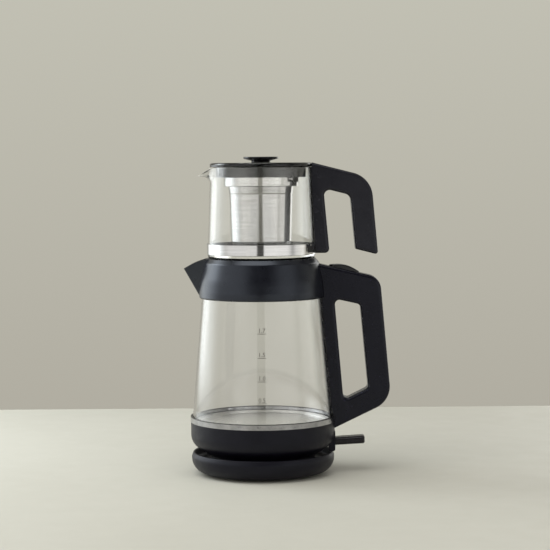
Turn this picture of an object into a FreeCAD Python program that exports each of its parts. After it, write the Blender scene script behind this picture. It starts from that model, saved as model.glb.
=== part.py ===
import FreeCAD, Part
import math
import os
import re
import Sketcher
from FreeCAD import Placement, Rotation, Vector

# Two-storey tea maker: a glass kettle on a power base, with a glass teapot standing on the kettle.
# Lengths are in millimetres and angles in degrees. +Z is up, the feet stand on z = 0 and the kettle's
# axis is the Z axis. The handles are on the +X side, the spouts on the -X side and the cord gland on +Y.

# ---------------------------------------------------------------- driving sizes
SIZES = {
    # clearances
    "wall": 2.4,
    "fit": 0.2,
    "running": 0.05,
    "thread": 0.05,
    "through": 1,
    "sink": 0.5,
    "small_round": 0.8,
    # power base
    "foot_height": 1.6,
    "foot_radius": 6.5,
    "foot_seat": 0.8,
    "foot_inset": 12,
    "base_setback": 0.7,
    "base_height": 25,
    "base_bend": 17,
    "base_shoulder_bend": 6,
    "rim_inset": 1.7,
    "rim_slope": 4.5,
    "rim_width": 2.2,
    "dish_inset": 3.6,
    "dish_height": 15,
    "dish_bend": 4,
    "hub_radius": 24,
    "hub_rise": 6.5,
    "hub_draft": 1.4,
    "hub_round": 1.4,
    "hub_root_bend": 2,
    "bottom_inset": 20.9,
    "bottom_thickness": 2.2,
    "screw_radius": 1.4,
    "screw_head_radius": 3,
    "screw_head_height": 1.2,
    "screw_inset": 14,
    "screw_length": 6.5,
    "foot_count": 4,
    "boss_radius": 3.8,
    "gland_radius": 5,
    "gland_bore_radius": 3.1,
    "gland_height": 8.3,
    "gland_inset": 10.4,
    "gland_length": 17,
    "gland_taper": 0.8,
    "gland_taper_length": 8,
    # cordless connector
    "post_radius": 18,
    "post_rise": 3,
    "post_gap": 0.3,
    "socket_skirt": 19.5,
    "socket_gap": 0.5,
    "socket_flange": 23,
    "socket_flange_thickness": 2.2,
    "socket_bottom": 5.4,
    "groove_inner": 9,
    "groove_outer": 15,
    "groove_floor": 12,
    "pin_radius": 3,
    "pin_tip_height": 9.5,
    "pin_point": 1,
    "pin_point_length": 1.5,
    "pin_head_radius": 5.5,
    "pin_head_height": 1.6,
    "pin_clearance": 0.6,
    "pin_floor_gap": 0.5,
    "pin_well": 1.2,
    "sleeve_thickness": 1.15,
    "sleeve_recess": 1.5,
    "contact_thickness": 0.8,
    "contact_lift": 1.5,
    "contact_recess": 3,
    "plug_inner": 9.9,
    "plug_outer": 12.2,
    "plug_bottom": 13.2,
    "plug_ceiling": 25.2,
    "plug_body_radius": 17,
    "plug_flange": 19.5,
    "plug_flange_thickness": 1.8,
    "plug_hub_radius": 7,
    "plug_hub_height": 33,
    "plug_lift": 0.2,
    "plug_screw_head": 2.4,
    "plug_screw_head_height": 1.4,
    "plug_screw_length": 9,
    "plug_screw_count": 3,
    # kettle base
    "housing_step": 1.1,
    "stand_height": 7.5,
    "housing_taper": 20,
    "housing_rise": 13.4,
    "housing_bend": 17,
    "underside_inset": 1.8,
    "underside_thickness": 2.2,
    "well_radius": 26,
    "stand_inset": 0.8,
    "stand_width": 3,
    "stand_round": 0.6,
    "plug_screw_circle": 23,
    "control_radius": 26,
    "control_neck": 20,
    "control_gap": 3,
    "control_round": 2,
    "pin_head_room": 4,
    "lever_inset": 11.6,
    "lever_rise": 12.5,
    "lever_length": 33.9,
    "lever_tilt_rise": 2.7,
    "lever_tip_thickness": 8.8,
    "lever_root_thickness": 8.6,
    "lever_width": 18,
    "lever_side_gap": 0.3,
    "lever_plan_round": 3.5,
    "lever_round": 2.2,
    "lever_root_round": 2,
    "fork_round": 1.5,
    "lever_drop": 3,
    "lever_pin_radius": 1.5,
    "lever_fork": 3.9,
    "fork_wall": 1.6,
    "shroud_width": 26,
    "shroud_step": 0.3,
    "shroud_lift": 3,
    "shroud_drop": 10,
    "shroud_round": 2.5,
    "shroud_root": 7,
    "slot_head_room": 1.8,
    "element_inset": 14,
    "element_tube": 4,
    "element_angle": 290,
    "element_turn_angle": 35,
    "terminal_length": 10,
    "terminal_step": 1,
    "spreader_inset": 16.9,
    "spreader_thickness": 2,
    "heater_sink": 2,
    "heater_sheet": 1.2,
    "heater_inset": 3.6,
    "heater_lip": 3.6,
    "plate_gap": 0.3,
    "heater_bend": 1,
    "ledge_width": 3.7,
    "ledge_thickness": 2,
    "seal_sink": 1.7,
    "housing_side": 23.7,
    "ring_height": 6.4,
    "ring_step": 0.4,
    "ring_grip": 0.3,
    "ring_sheet": 0.6,
    "ring_round": 0.5,
    "seal_lip": 1,
    "seal_squeeze": 0.05,
    # kettle glass
    "seal_foot": 0.5,
    "glass_radius": 80.5,
    "shoulder_rise": 12.9,
    "shoulder_step": 1.9,
    "shoulder_bend": 30,
    "glass_height": 161.9,
    "glass_narrowing": 14.5,
    "glass_wall": 2.5,
    "glass_round": 1.1,
    "glass_gap": 0.4,
    # collar, spout and hinged lid
    "collar_grip": 22.5,
    "collar_rise": 22.4,
    "collar_step": 4.8,
    "belly_drop": 24.9,
    "belly_inset": 1.4,
    "collar_belly_bend": 60,
    "collar_foot_height": 7.5,
    "collar_foot_bend": 25,
    "collar_foot_round": 2,
    "edge_drop": 4.9,
    "edge_inset": 5.8,
    "collar_edge_bend": 2.5,
    "rim_setback": 9.8,
    "rim_land": 1.4,
    "seat_depth": 1,
    "seat_thickness": 5.9,
    "seal_thickness": 2,
    "cavity_inset": 5.2,
    "cavity_bend": 3,
    "mouth_inset": 14.6,
    "mouth_ledge": 2.2,
    "mouth_depth": 3.9,
    "spout_length": 17.2,
    "spout_tip_drop": 11.4,
    "heel_inset": 0.8,
    "heel_rise": 1.5,
    "spout_nose_width": 5,
    "spout_root_width": 42,
    "spout_root_gap": 4,
    "spout_flare": 8,
    "spout_nose_bend": 2,
    "spout_brow": 1.4,
    "spout_brow_shift": 1,
    "spout_brow_bend": 60,
    "spout_floor_rise": 2,
    "spout_rise": 5.8,
    "trough_width": 18,
    "trough_flare": 8,
    "trough_nose": 1,
    "trough_nose_flare": 2.2,
    "window_height": 10.5,
    "filter_thickness": 1,
    "filter_angle": 34,
    "filter_slot": 2,
    "filter_pitch": 4,
    "lid_gap": 0.7,
    "lid_rise": 1.4,
    "lid_sheet": 1.8,
    "lid_crown_gap": 0.4,
    "lid_crown_bend": 40,
    "lid_rim": 2.5,
    "lid_lift": 0.1,
    "lid_flat": 2.9,
    "steam_hole_inset": 13.2,
    "steam_hole_radius": 2.2,
    "steam_hole_angle": 30,
    "steam_holes": 6,
    "hinge_offset": 2.4,
    "hinge_drop": 2.8,
    "hinge_pin_radius": 1.25,
    "hinge_pin_length": 28,
    "knuckle_radius": 2.5,
    "knuckle_width": 19,
    "knuckle_gap": 0.7,
    # kettle handle, release button and latch
    "handle_width": 24,
    "handle_round": 3.5,
    "handle_inset": 3.8,
    "handle_drop": 6,
    "handle_top_length": 66.7,
    "handle_fall": 16.4,
    "handle_top_bend": 17,
    "handle_spread": 11.9,
    "handle_chin_rise": 30.7,
    "handle_low_bend": 27,
    "handle_end_drop": 8.05,
    "handle_root": 9,
    "loop_left_gap": 11.2,
    "loop_left_drop": 23.8,
    "grip_top_width": 22.8,
    "loop_right_drop": 30.4,
    "grip_low_width": 26.2,
    "loop_right_rise": 14.85,
    "loop_low_gap": 13,
    "loop_left_rise": 0.95,
    "loop_bend": 5,
    "lug_width": 16,
    "lug_thickness": 2.2,
    "lug_root": 1.5,
    "button_place": 27.2,
    "button_length": 35,
    "button_width": 14,
    "button_crown": 5.9,
    "button_crown_bend": 38,
    "button_depth": 5,
    "button_pocket": 9.5,
    "button_corner": 6,
    "button_edge": 0.5,
    "button_edge_round": 1.2,
    "spring_half": 12,
    "spring_top": 4,
    "spring_width": 8,
    "spring_sheet": 0.45,
    "latch_width": 7,
    "latch_drop": 11.4,
    "latch_bar_height": 3.4,
    "latch_travel": 2.5,
    "latch_gap": 0.4,
    "latch_nose": 0.8,
    "latch_hook": 2.4,
    "latch_chamfer": 3,
    "button_ramp": 5.9,
    "handle_screw_rise": 1.8,
    "handle_screw_spacing": 8,
    "handle_screw_seat": 2,
    "handle_screw_length": 12,
    # teapot
    "teapot_overhang": 0.2,
    "teapot_height": 103.6,
    "teapot_narrowing": 4.2,
    "teapot_wall": 2.2,
    "teapot_floor": 5.6,
    "teapot_heel": 5.5,
    "punt_depth": 3,
    "punt_inset": 11.5,
    "punt_bend": 2,
    "teapot_rim_round": 0.9,
    "teapot_floor_bend": 4,
    "lip_length": 16,
    "lip_drop": 9.8,
    "lip_width": 26,
    "lip_sink": 1,
    "lip_rim_gap": 1.5,
    "lip_depth": 16,
    "lip_foot": 8,
    "lip_tip_width": 6,
    "lip_tip_foot": 3,
    "lip_tip_depth": 3.2,
    "band_rise": 6.2,
    "band_height": 11.4,
    "band_sheet": 0.7,
    "band_slot_height": 7.4,
    "band_tab_length": 9.3,
    "band_tab_inset": 2,
    "band_tab_sheet": 0.8,
    "band_tab_spacing": 1.6,
    "stud_inset": 0.3,
    "stud_angle_gap": 0.3,
    "pot_handle_inset": 7,
    "pot_handle_rise": 1.9,
    "pot_handle_length": 47.1,
    "pot_handle_fall": 19.1,
    "pot_handle_bend": 29,
    "pot_handle_spread": 7.6,
    "pot_handle_end_rise": 4.2,
    "pot_grip_end_width": 25.8,
    "pot_grip_end_rise": 6.6,
    "pot_handle_toe_bend": 3,
    "pot_handle_inner_bend": 1.5,
    "pot_grip_width": 23.7,
    "hook_right_drop": 19.9,
    "hook_left_gap": 9.2,
    "hook_left_rise": 7.7,
    "hook_right_bend": 8,
    "hook_left_bend": 6,
    "spine_width": 15.7,
    "spine_rise": 0.4,
    "spine_bend": 5,
    "band_screw_head": 1.8,
    "band_screw_length": 18,
    # teapot lid and infuser
    "cover_overhang": 0.7,
    "cover_height": 5,
    "cover_gap": 0.15,
    "cover_sheet": 2.6,
    "cover_round": 2.4,
    "skirt_inset": 6.4,
    "skirt_depth": 11.4,
    "skirt_wall": 2,
    "skirt_draft": 0.4,
    "knob_radius": 19.65,
    "knob_height": 6.7,
    "knob_edge": 2.2,
    "knob_edge_round": 0.7,
    "knob_rim": 2.6,
    "knob_dish": 1.2,
    "knob_neck": 9.6,
    "knob_neck_height": 2,
    "knob_neck_bend": 1.3,
    "knob_dish_bend": 6,
    "knob_foot": 11.2,
    "stud_radius": 2,
    "nut_radius": 6.8,
    "nut_drop": 17.5,
    "nut_draft": 0.6,
    "bayonet_angle": 34.4,
    "bayonet_width": 8,
    "bayonet_drop": 5.2,
    "bayonet_shelf": 2.2,
    "bayonet_lip": 4.4,
    "bayonet_stem": 2,
    "bayonet_count": 2,
    "lug_height": 1.7,
    "lug_inset": 2.5,
    "infuser_inset": 8.6,
    "infuser_rise": 5.4,
    "cup_depth": 10.3,
    "infuser_sheet": 0.8,
    "basket_inset": 5.2,
    "basket_narrowing": 3.4,
    "basket_depth": 64.2,
    "basket_sheet": 0.7,
    "basket_slot_drop": 10.5,
    "basket_slot_rise": 6.7,
    "basket_slot_width": 0.8,
    "basket_slots": 24,
    "basket_flange": 3.2,
    "basket_bend": 2.6,
    "basket_slot_round": 0.35,
    "basket_gap": 0.1,
}

# Values that follow from the driving sizes.
DERIVED = {
    "base_radius": "housing_radius - base_setback",
    "rim_radius": "base_radius - rim_inset",
    "dish_radius": "rim_radius - dish_inset",
    "hub_height": "dish_height + hub_rise",
    "post_height": "hub_height + post_rise",
    "bottom_radius": "base_radius - bottom_inset",
    "screw_circle": "bottom_radius - screw_inset",
    "foot_circle": "bottom_radius - foot_inset",
    "gland_start": "base_radius - gland_inset",
    "housing_bottom": "dish_height + stand_height",
    "housing_corner": "housing_bottom + housing_rise",
    "housing_radius": "glass_radius + housing_step",
    "housing_foot": "housing_radius - housing_taper",
    "underside_radius": "housing_foot - underside_inset",
    "stand_radius": "underside_radius - stand_inset",
    "lever_pivot": "housing_radius - lever_inset",
    "lever_height": "housing_bottom + lever_rise",
    "lever_reach": "housing_radius + lever_length",
    "lever_tip_height": "lever_height + lever_tilt_rise",
    "shroud_reach": "housing_radius + shroud_step",
    "element_radius": "spreader_radius - element_inset",
    "spreader_radius": "heater_radius - spreader_inset",
    "ring_bottom": "housing_corner + housing_side",
    "heater_height": "ring_bottom - heater_sink",
    "heater_radius": "glass_radius - heater_inset",
    "seal_bottom": "ring_bottom - seal_sink",
    "ring_radius": "housing_radius + ring_step",
    "glass_bottom": "ring_bottom + seal_foot",
    "shoulder_height": "glass_bottom + shoulder_rise",
    "shoulder_radius": "glass_radius - shoulder_step",
    "glass_top": "glass_bottom + glass_height",
    "glass_top_radius": "glass_radius - glass_narrowing",
    "collar_bottom": "glass_top - collar_grip",
    "collar_top": "glass_top + collar_rise",
    "collar_radius": "glass_top_radius + collar_step",
    "collar_belly_height": "collar_top - belly_drop",
    "collar_belly_radius": "collar_radius - belly_inset",
    "collar_edge_height": "collar_top - edge_drop",
    "collar_edge_radius": "collar_radius - edge_inset",
    "collar_rim_radius": "collar_radius - rim_setback",
    "cavity_radius": "glass_top_radius - cavity_inset",
    "mouth_radius": "cavity_radius - mouth_inset",
    "spout_reach": "collar_radius + spout_length",
    "spout_tip_height": "collar_top - spout_tip_drop",
    "spout_heel": "collar_radius - heel_inset",
    "spout_heel_height": "collar_bottom + heel_rise",
    "spout_floor": "collar_ceiling + spout_floor_rise",
    "steam_hole_circle": "mouth_radius - steam_hole_inset",
    "hinge_reach": "mouth_radius + hinge_offset",
    "hinge_height": "seat_height - hinge_drop",
    "handle_start": "collar_radius - handle_inset",
    "handle_start_height": "collar_top - handle_drop",
    "handle_top_reach": "handle_start + handle_top_length",
    "handle_top_height": "handle_start_height - handle_fall",
    "handle_low_reach": "handle_top_reach + handle_spread",
    "handle_low_height": "handle_end_height + handle_chin_rise",
    "handle_end_height": "ring_bottom - handle_end_drop",
    "loop_left": "collar_radius + loop_left_gap",
    "loop_left_height": "handle_top_height - loop_left_drop",
    "loop_right": "handle_top_reach - grip_top_width",
    "loop_right_height": "handle_top_height - loop_right_drop",
    "loop_low_right": "handle_low_reach - grip_low_width",
    "loop_low_right_height": "handle_low_height + loop_right_rise",
    "loop_low_left": "shoulder_radius + loop_low_gap",
    "loop_low_left_height": "handle_low_height + loop_left_rise",
    "latch_bar_bottom": "hinge_height - latch_drop",
    "handle_screw_height": "latch_bar_bottom + handle_screw_rise",
    "teapot_radius": "collar_rim_radius + teapot_overhang",
    "teapot_top": "seat_height + teapot_height",
    "teapot_top_radius": "teapot_radius - teapot_narrowing",
    "punt_radius": "teapot_radius - punt_inset",
    "lip_reach": "teapot_top_radius + lip_length",
    "lip_height": "teapot_top - lip_drop",
    "band_bottom": "seat_height + band_rise",
    "band_tab_reach": "teapot_radius + band_tab_length",
    "pot_handle_start": "teapot_top_radius - pot_handle_inset",
    "pot_handle_start_height": "cover_top + pot_handle_rise",
    "pot_handle_reach": "spine_reach + pot_handle_length",
    "pot_handle_height": "pot_handle_start_height - pot_handle_fall",
    "pot_handle_end": "pot_handle_reach + pot_handle_spread",
    "pot_handle_end_height": "seat_height + pot_handle_end_rise",
    "pot_handle_inner_end": "pot_handle_end - pot_grip_end_width",
    "pot_handle_inner_height": "pot_handle_end_height + pot_grip_end_rise",
    "hook_right": "pot_handle_reach - pot_grip_width",
    "hook_right_height": "pot_handle_height - hook_right_drop",
    "hook_left": "teapot_radius + hook_left_gap",
    "hook_left_height": "hook_right_height + hook_left_rise",
    "spine_reach": "teapot_radius + spine_width",
    "spine_bottom": "band_bottom + spine_rise",
    "cover_radius": "teapot_top_radius + cover_overhang",
    "cover_top": "teapot_top + cover_height",
    "skirt_radius": "teapot_top_radius - skirt_inset",
    "skirt_bottom": "teapot_top - skirt_depth",
    "nut_bottom": "cover_top - nut_drop",
    "bayonet_bottom": "skirt_bottom - bayonet_drop",
    "infuser_radius": "skirt_radius - infuser_inset",
    "infuser_top": "bayonet_bottom + infuser_rise",
    "infuser_shelf": "infuser_top - cup_depth",
    "basket_radius": "infuser_radius - basket_inset",
    "basket_bottom_radius": "basket_radius - basket_narrowing",
    "basket_bottom": "infuser_shelf - basket_depth",
    "basket_slot_top": "infuser_shelf - basket_slot_drop",
    "basket_slot_bottom": "basket_bottom + basket_slot_rise",
    "plate_top": "foot_height + bottom_thickness",
    "dish_underside": "dish_height - wall",
    "flange_bottom": "dish_underside - socket_flange_thickness",
    "sleeve_radius": "pin_radius + running + sleeve_thickness",
    "sleeve_top": "post_height - sleeve_recess",
    "sleeve_bottom": "pin_tip_height - pin_floor_gap",
    "pin_passage": "pin_radius + pin_clearance",
    "socket_ring": "socket_skirt + socket_gap",
    "screw_head_top": "foot_height + screw_head_height",
    "screw_hole": "screw_radius + thread",
    "plug_seat": "plug_ceiling + underside_thickness + plug_lift",
    "underside_ceiling": "plug_seat - underside_thickness",
    "control_top": "element_floor - control_gap",
    "fork_width": "lever_width + 2 * (fork_wall + lever_side_gap)",
    "plug_top": "plug_seat + plug_flange_thickness",
    "housing_slope": "(housing_corner - housing_bottom) / (housing_radius - housing_foot)",
    "housing_floor": "housing_bottom + 1.2 * wall",
    "housing_inner": "housing_radius - wall",
    "opening_radius": "underside_radius + fit",
    "heater_bottom": "heater_height - heater_sheet",
    "spreader_bottom": "heater_bottom - spreader_thickness",
    "element_floor": "spreader_bottom - 2 * element_tube",
    "seal_radius": "glass_radius + glass_gap",
    "seal_inner": "heater_radius + plate_gap",
    "seal_outer": "seal_radius - seal_squeeze",
    "glass_inner_bottom": "glass_radius - glass_wall",
    "glass_inner_top": "glass_top_radius - glass_wall",
    "ledge_radius": "seal_inner - ledge_width",
    "ledge_bottom": "heater_bottom - ledge_thickness",
    "ring_top": "ring_bottom + ring_height",
    "glass_taper": "(shoulder_radius - glass_top_radius) / (glass_top - shoulder_height)",
    "collar_bore": "glass_top_radius + glass_gap",
    "collar_mouth": "collar_bore + (glass_top - collar_bottom) * glass_taper",
    "collar_ceiling": "glass_top + seal_thickness",
    "seat_height": "collar_top - seat_depth",
    "seat_radius": "collar_rim_radius - rim_land",
    "seat_underside": "seat_height - seat_thickness",
    "mouth_floor": "seat_height - mouth_depth",
    "spout_slant": "(spout_reach - spout_heel) / (spout_tip_height - spout_heel_height)",
    "lid_radius": "mouth_radius - lid_gap",
    "lid_bottom": "mouth_floor + lid_lift",
    "lid_edge": "seat_height - lid_rise",
    "lid_crown": "seat_height - lid_crown_gap",
    "trough_start": "collar_rim_radius + rim_land",
    "handle_screw_face": "cavity_radius + handle_screw_seat",
    "handle_half": "handle_width / 2",
    "handle_tilt": "atan((handle_start_height - handle_top_height) / (handle_top_reach - handle_start))",
    "handle_base_slope": "(handle_low_height - handle_end_height) / (handle_low_reach - housing_radius)",
    "button_centre": "handle_start + button_place * cos(handle_tilt)",
    "button_level": "handle_start_height - button_place * sin(handle_tilt)",
    "latch_left": "hinge_reach + knuckle_radius + knuckle_gap - fit",
    "latch_right": "button_centre - (button_length / 2 + fit) * cos(handle_tilt) - button_ramp",
    "latch_bar_top": "latch_bar_bottom + latch_bar_height",
    "pot_taper": "(teapot_radius - teapot_top_radius) / (teapot_top - seat_height)",
    "band_top": "band_bottom + band_height",
    "band_inner": "teapot_radius - (band_bottom - seat_height) * pot_taper + cover_gap",
    "band_outer": "band_inner + band_sheet",
    "band_middle": "band_bottom + band_height / 2",
    "cover_bottom": "teapot_top + cover_gap",
    "cover_ceiling": "cover_top - cover_sheet",
    "bayonet_reach": "infuser_radius + bayonet_lip + through",
}


def on_sheet(text):
    """The expression with its derived values opened up and every size read from the sheet."""
    text = str(text)
    opened = re.sub("[a-z_]+", lambda word: f"({DERIVED[word[0]]})" if word[0] in DERIVED else word[0], text)
    if opened != text:
        return on_sheet(opened)
    return re.sub("[a-z_]+", lambda word: f"sizes.{word[0]}" if word[0] in SIZES else word[0], text)


def value(text):
    """The number that an expression comes to now."""
    result = sheet.evalExpression(on_sheet(text))
    return float(getattr(result, "Value", result))


# ---------------------------------------------------------------- document helpers
# Distance under which two places count as the same, in mm.
TOUCHING = 1e-4


def new_body(label, in_pieces=False):
    body = document.addObject("PartDesign::Body", label)
    body.Label = label
    body.AllowCompound = in_pieces
    nodes.append(body)
    return body


def origin_feature(body, role):
    return next(feature for feature in body.Origin.OriginFeatures if feature.Role == role)


def new_sketch(body, plane, shift, tilted_at=None):
    """Sketch on an origin plane, shifted along its normal or tilted with the handle's top."""
    sketch = body.newObject("Sketcher::SketchObject", "Sketch")
    sketch.AttachmentSupport = [(origin_feature(body, plane), "")]
    sketch.MapMode = "FlatFace"
    if tilted_at:
        sketch.AttachmentOffset = Placement(Vector(), Rotation(Vector(0, 1, 0), 1))
        sketch.setExpression(".AttachmentOffset.Base.x", on_sheet(tilted_at[0]))
        sketch.setExpression(".AttachmentOffset.Base.z", on_sheet(tilted_at[1]))
        sketch.setExpression(".AttachmentOffset.Rotation.Angle", on_sheet("handle_tilt"))
    else:
        sketch.setExpression(".AttachmentOffset.Base.z", on_sheet(shift))
    return sketch


def bind(sketch, constraint, text):
    index = sketch.addConstraint(constraint)
    sketch.setExpression(f"Constraints[{index}]", on_sheet(text))


def pin_down(sketch, element, end, across, up):
    """Fixes a point at its distances across and up from the sketch's origin."""
    bind(sketch, Sketcher.Constraint("DistanceX", -1, 1, element, end, value(across)), across)
    bind(sketch, Sketcher.Constraint("DistanceY", -1, 1, element, end, value(up)), up)


def round_corner(sketch, before, after, corner, entry, leave, radius):
    """Tangent arc between two lines whose extensions meet at the corner."""
    centre = corner + (entry + leave - corner * 2) * (radius ** 2 / ((entry - corner).Length ** 2) + 1) / 2
    runs_left = (corner - entry).cross(leave - corner).z > 0
    first, last = (entry, leave) if runs_left else (leave, entry)
    angles = [math.atan2(point.y - centre.y, point.x - centre.x) for point in (first, last)]
    arc = sketch.addGeometry(Part.ArcOfCircle(Part.Circle(centre, Vector(0, 0, 1), radius), *angles), False)
    entry_end, leave_end = (1, 2) if runs_left else (2, 1)
    sketch.addConstraint(Sketcher.Constraint("Tangent", before, 2, arc, entry_end))
    sketch.addConstraint(Sketcher.Constraint("Tangent", after, 1, arc, leave_end))
    point = sketch.addGeometry(Part.Point(corner), True)
    sketch.addConstraint(Sketcher.Constraint("PointOnObject", point, 1, before))
    sketch.addConstraint(Sketcher.Constraint("PointOnObject", point, 1, after))
    return arc, point


def draw(sketch, corners):
    """Closed outline through corners, each (across, up) or (across, up, corner radius)."""
    count = len(corners)
    points = [Vector(value(corner[0]), value(corner[1]), 0) for corner in corners]
    radii = [value(corner[2]) if len(corner) > 2 else 0 for corner in corners]
    entries = []
    leaves = []
    for index, point in enumerate(points):
        back = (points[index - 1] - point).normalize()
        ahead = (points[(index + 1) % count] - point).normalize()
        reach = radii[index] / math.tan(back.getAngle(ahead) / 2)
        entries.append(point + back * reach)
        leaves.append(point + ahead * reach)
    first = len(sketch.Geometry)
    lines = [first + index for index in range(count)]
    for index in range(count):
        sketch.addGeometry(Part.LineSegment(leaves[index], entries[(index + 1) % count]), False)
    for index, corner in enumerate(corners):
        before, after = lines[index - 1], lines[index]
        if radii[index]:
            arc, point = round_corner(
                sketch, before, after, points[index], entries[index], leaves[index], radii[index])
            bind(sketch, Sketcher.Constraint("Radius", arc, radii[index]), corner[2])
            pin_down(sketch, point, 1, corner[0], corner[1])
        else:
            sketch.addConstraint(Sketcher.Constraint("Coincident", before, 2, after, 1))
            pin_down(sketch, after, 1, corner[0], corner[1])


def outline(body, corners, plane="XZ_Plane", shift="0", tilted_at=None):
    sketch = new_sketch(body, plane, shift, tilted_at)
    draw(sketch, corners)
    return sketch


def box_outline(body, left, right, bottom, top, plane="XZ_Plane", shift="0", bend="0", tilted_at=None):
    corners = [(left, bottom, bend), (right, bottom, bend), (right, top, bend), (left, top, bend)]
    return outline(body, corners, plane, shift, tilted_at)


def circle(body, across, up, radius, plane, shift="0"):
    sketch = new_sketch(body, plane, shift)
    centre = Vector(value(across), value(up), 0)
    sketch.addGeometry(Part.Circle(centre, Vector(0, 0, 1), value(radius)), False)
    pin_down(sketch, 0, 3, across, up)
    bind(sketch, Sketcher.Constraint("Radius", 0, value(radius)), radius)
    return sketch


def turn(body, sketch, kind="PartDesign::Revolution", sweep="360"):
    feature = body.newObject(kind, kind.split("::")[1])
    feature.Profile = sketch
    feature.ReferenceAxis = (sketch, ["V_Axis"])
    feature.Midplane = sweep != "360"
    feature.setExpression("Angle", on_sheet(sweep))
    return feature


def extrude(body, sketch, length, kind="PartDesign::Pad", symmetric=True, reverse=False):
    feature = body.newObject(kind, kind.split("::")[1])
    feature.Profile = sketch
    feature.SideType = "Symmetric" if symmetric else "One side"
    feature.Reversed = reverse
    feature.setExpression("Length", on_sheet(length))
    return feature


def cut(body, sketch, length, symmetric=True, reverse=False):
    return extrude(body, sketch, length, "PartDesign::Pocket", symmetric, reverse)


def peg(body, across, up, radius, start, length, plane="XY_Plane"):
    """Round pad that starts at a level and runs along the plane's normal."""
    return extrude(body, circle(body, across, up, radius, plane, start), length, symmetric=False)


def drill(body, across, up, radius, start, length, plane="XY_Plane"):
    """Round hole that starts at a level and runs along the plane's normal."""
    return cut(body, circle(body, across, up, radius, plane, start), length, symmetric=False, reverse=True)


def repeat(body, features, count):
    pattern = body.newObject("PartDesign::PolarPattern", "PolarPattern")
    pattern.Originals = features
    pattern.Axis = (origin_feature(body, "Z_Axis"), [""])
    pattern.Angle = 360
    pattern.setExpression("Occurrences", on_sheet(count))
    body.Tip = pattern
    return pattern


def loft(body, sections, kind):
    feature = body.newObject(kind, kind.split("::")[1])
    feature.Profile = sections[0]
    feature.Sections = sections[1:]
    feature.Ruled = True
    return feature


def round_edges(body, base, radius, wanted):
    """Fillet on the edges of the last feature that the test picks out."""
    document.recompute()
    names = [f"Edge{index + 1}" for index, edge in enumerate(base.Shape.Edges) if wanted(edge)]
    feature = body.newObject("PartDesign::Fillet", "Fillet")
    feature.Base = (base, names)
    feature.setExpression("Radius", on_sheet(radius))
    return feature


def on_side(edge, half_width):
    """Whether an edge lies in one of the two side faces of a handle."""
    box = edge.BoundBox
    return box.YLength < TOUCHING and abs(abs(box.YMax) - half_width) < TOUCHING


def turned(label, corners, in_pieces=False):
    """Body of revolution about the Z axis."""
    body = new_body(label, in_pieces)
    turn(body, outline(body, corners))
    return body


def place(body, across="0", depth="0", up="0", axis=Vector(0, 0, 1), angle="0"):
    body.Placement = Placement(Vector(), Rotation(axis, 1))
    body.setExpression(".Placement.Base.x", on_sheet(across))
    body.setExpression(".Placement.Base.y", on_sheet(depth))
    body.setExpression(".Placement.Base.z", on_sheet(up))
    body.setExpression(".Placement.Rotation.Angle", on_sheet(angle))


# ---------------------------------------------------------------- power base
FOOT_SPOT = ("foot_circle * cos(45)", "foot_circle * sin(45)")


def base_cover():
    """Round dish of the power base with its hub, screw bosses and cord opening."""
    body = turned("base_cover", [
        ("bottom_radius + fit", "foot_height"),
        ("base_radius", "foot_height", "base_bend"),
        ("base_radius", "base_height - rim_slope", "base_shoulder_bend"),
        ("rim_radius", "base_height", "small_round"),
        ("rim_radius - rim_width", "base_height", "small_round"),
        ("dish_radius", "dish_height", "dish_bend"),
        ("hub_radius", "dish_height", "hub_root_bend"),
        ("hub_radius - hub_draft", "hub_height", "hub_round"),
        ("post_radius + post_gap", "hub_height"),
        ("post_radius + post_gap", "dish_underside"),
        ("base_radius - 2 * wall", "dish_underside"),
        ("base_radius - base_bend + wall", "foot_height + wall"),
        ("bottom_radius + fit", "foot_height + wall"),
    ])
    boss = peg(body, "screw_circle", "0", "boss_radius", "plate_top", "dish_underside - plate_top + sink")
    hole = drill(body, "screw_circle", "0", "screw_hole", "plate_top", "dish_underside - plate_top - sink")
    repeat(body, [boss, hole], "foot_count")
    opening = circle(body, "0", "gland_height", "gland_radius + fit", "XZ_Plane", "-gland_start")
    cut(body, opening, "gland_length", symmetric=False)


def base_plate():
    """Flat bottom with a ring that holds up the socket, screw recesses and seats for the feet."""
    body = turned("base_plate", [
        ("0", "foot_height"),
        ("bottom_radius", "foot_height"),
        ("bottom_radius", "plate_top"),
        ("socket_ring + wall", "plate_top"),
        ("socket_ring + wall", "flange_bottom"),
        ("socket_ring", "flange_bottom"),
        ("socket_ring", "plate_top"),
        ("0", "plate_top"),
    ])
    hole = drill(body, "screw_circle", "0", "screw_hole", "0", "plate_top + through")
    recess = drill(body, "screw_circle", "0", "screw_head_radius + fit", "0", "screw_head_top")
    seat = drill(body, *FOOT_SPOT, "foot_radius + fit", "0", "foot_height + foot_seat")
    repeat(body, [hole, recess, seat], "foot_count")


def base_feet():
    """Four rubber pads, each pressed into its seat."""
    body = new_body("base_feet", in_pieces=True)
    foot = peg(body, *FOOT_SPOT, "foot_radius", "0", "foot_height + foot_seat")
    repeat(body, [foot], "foot_count")


def base_screws():
    """Four screws up through the bottom plate into the cover's bosses."""
    body = new_body("base_screws", in_pieces=True)
    head = peg(body, "screw_circle", "0", "screw_head_radius", "foot_height + thread",
               "screw_head_height - thread")
    shank = peg(body, "screw_circle", "0", "screw_radius", "screw_head_top", "screw_length")
    repeat(body, [head, shank], "foot_count")


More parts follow.
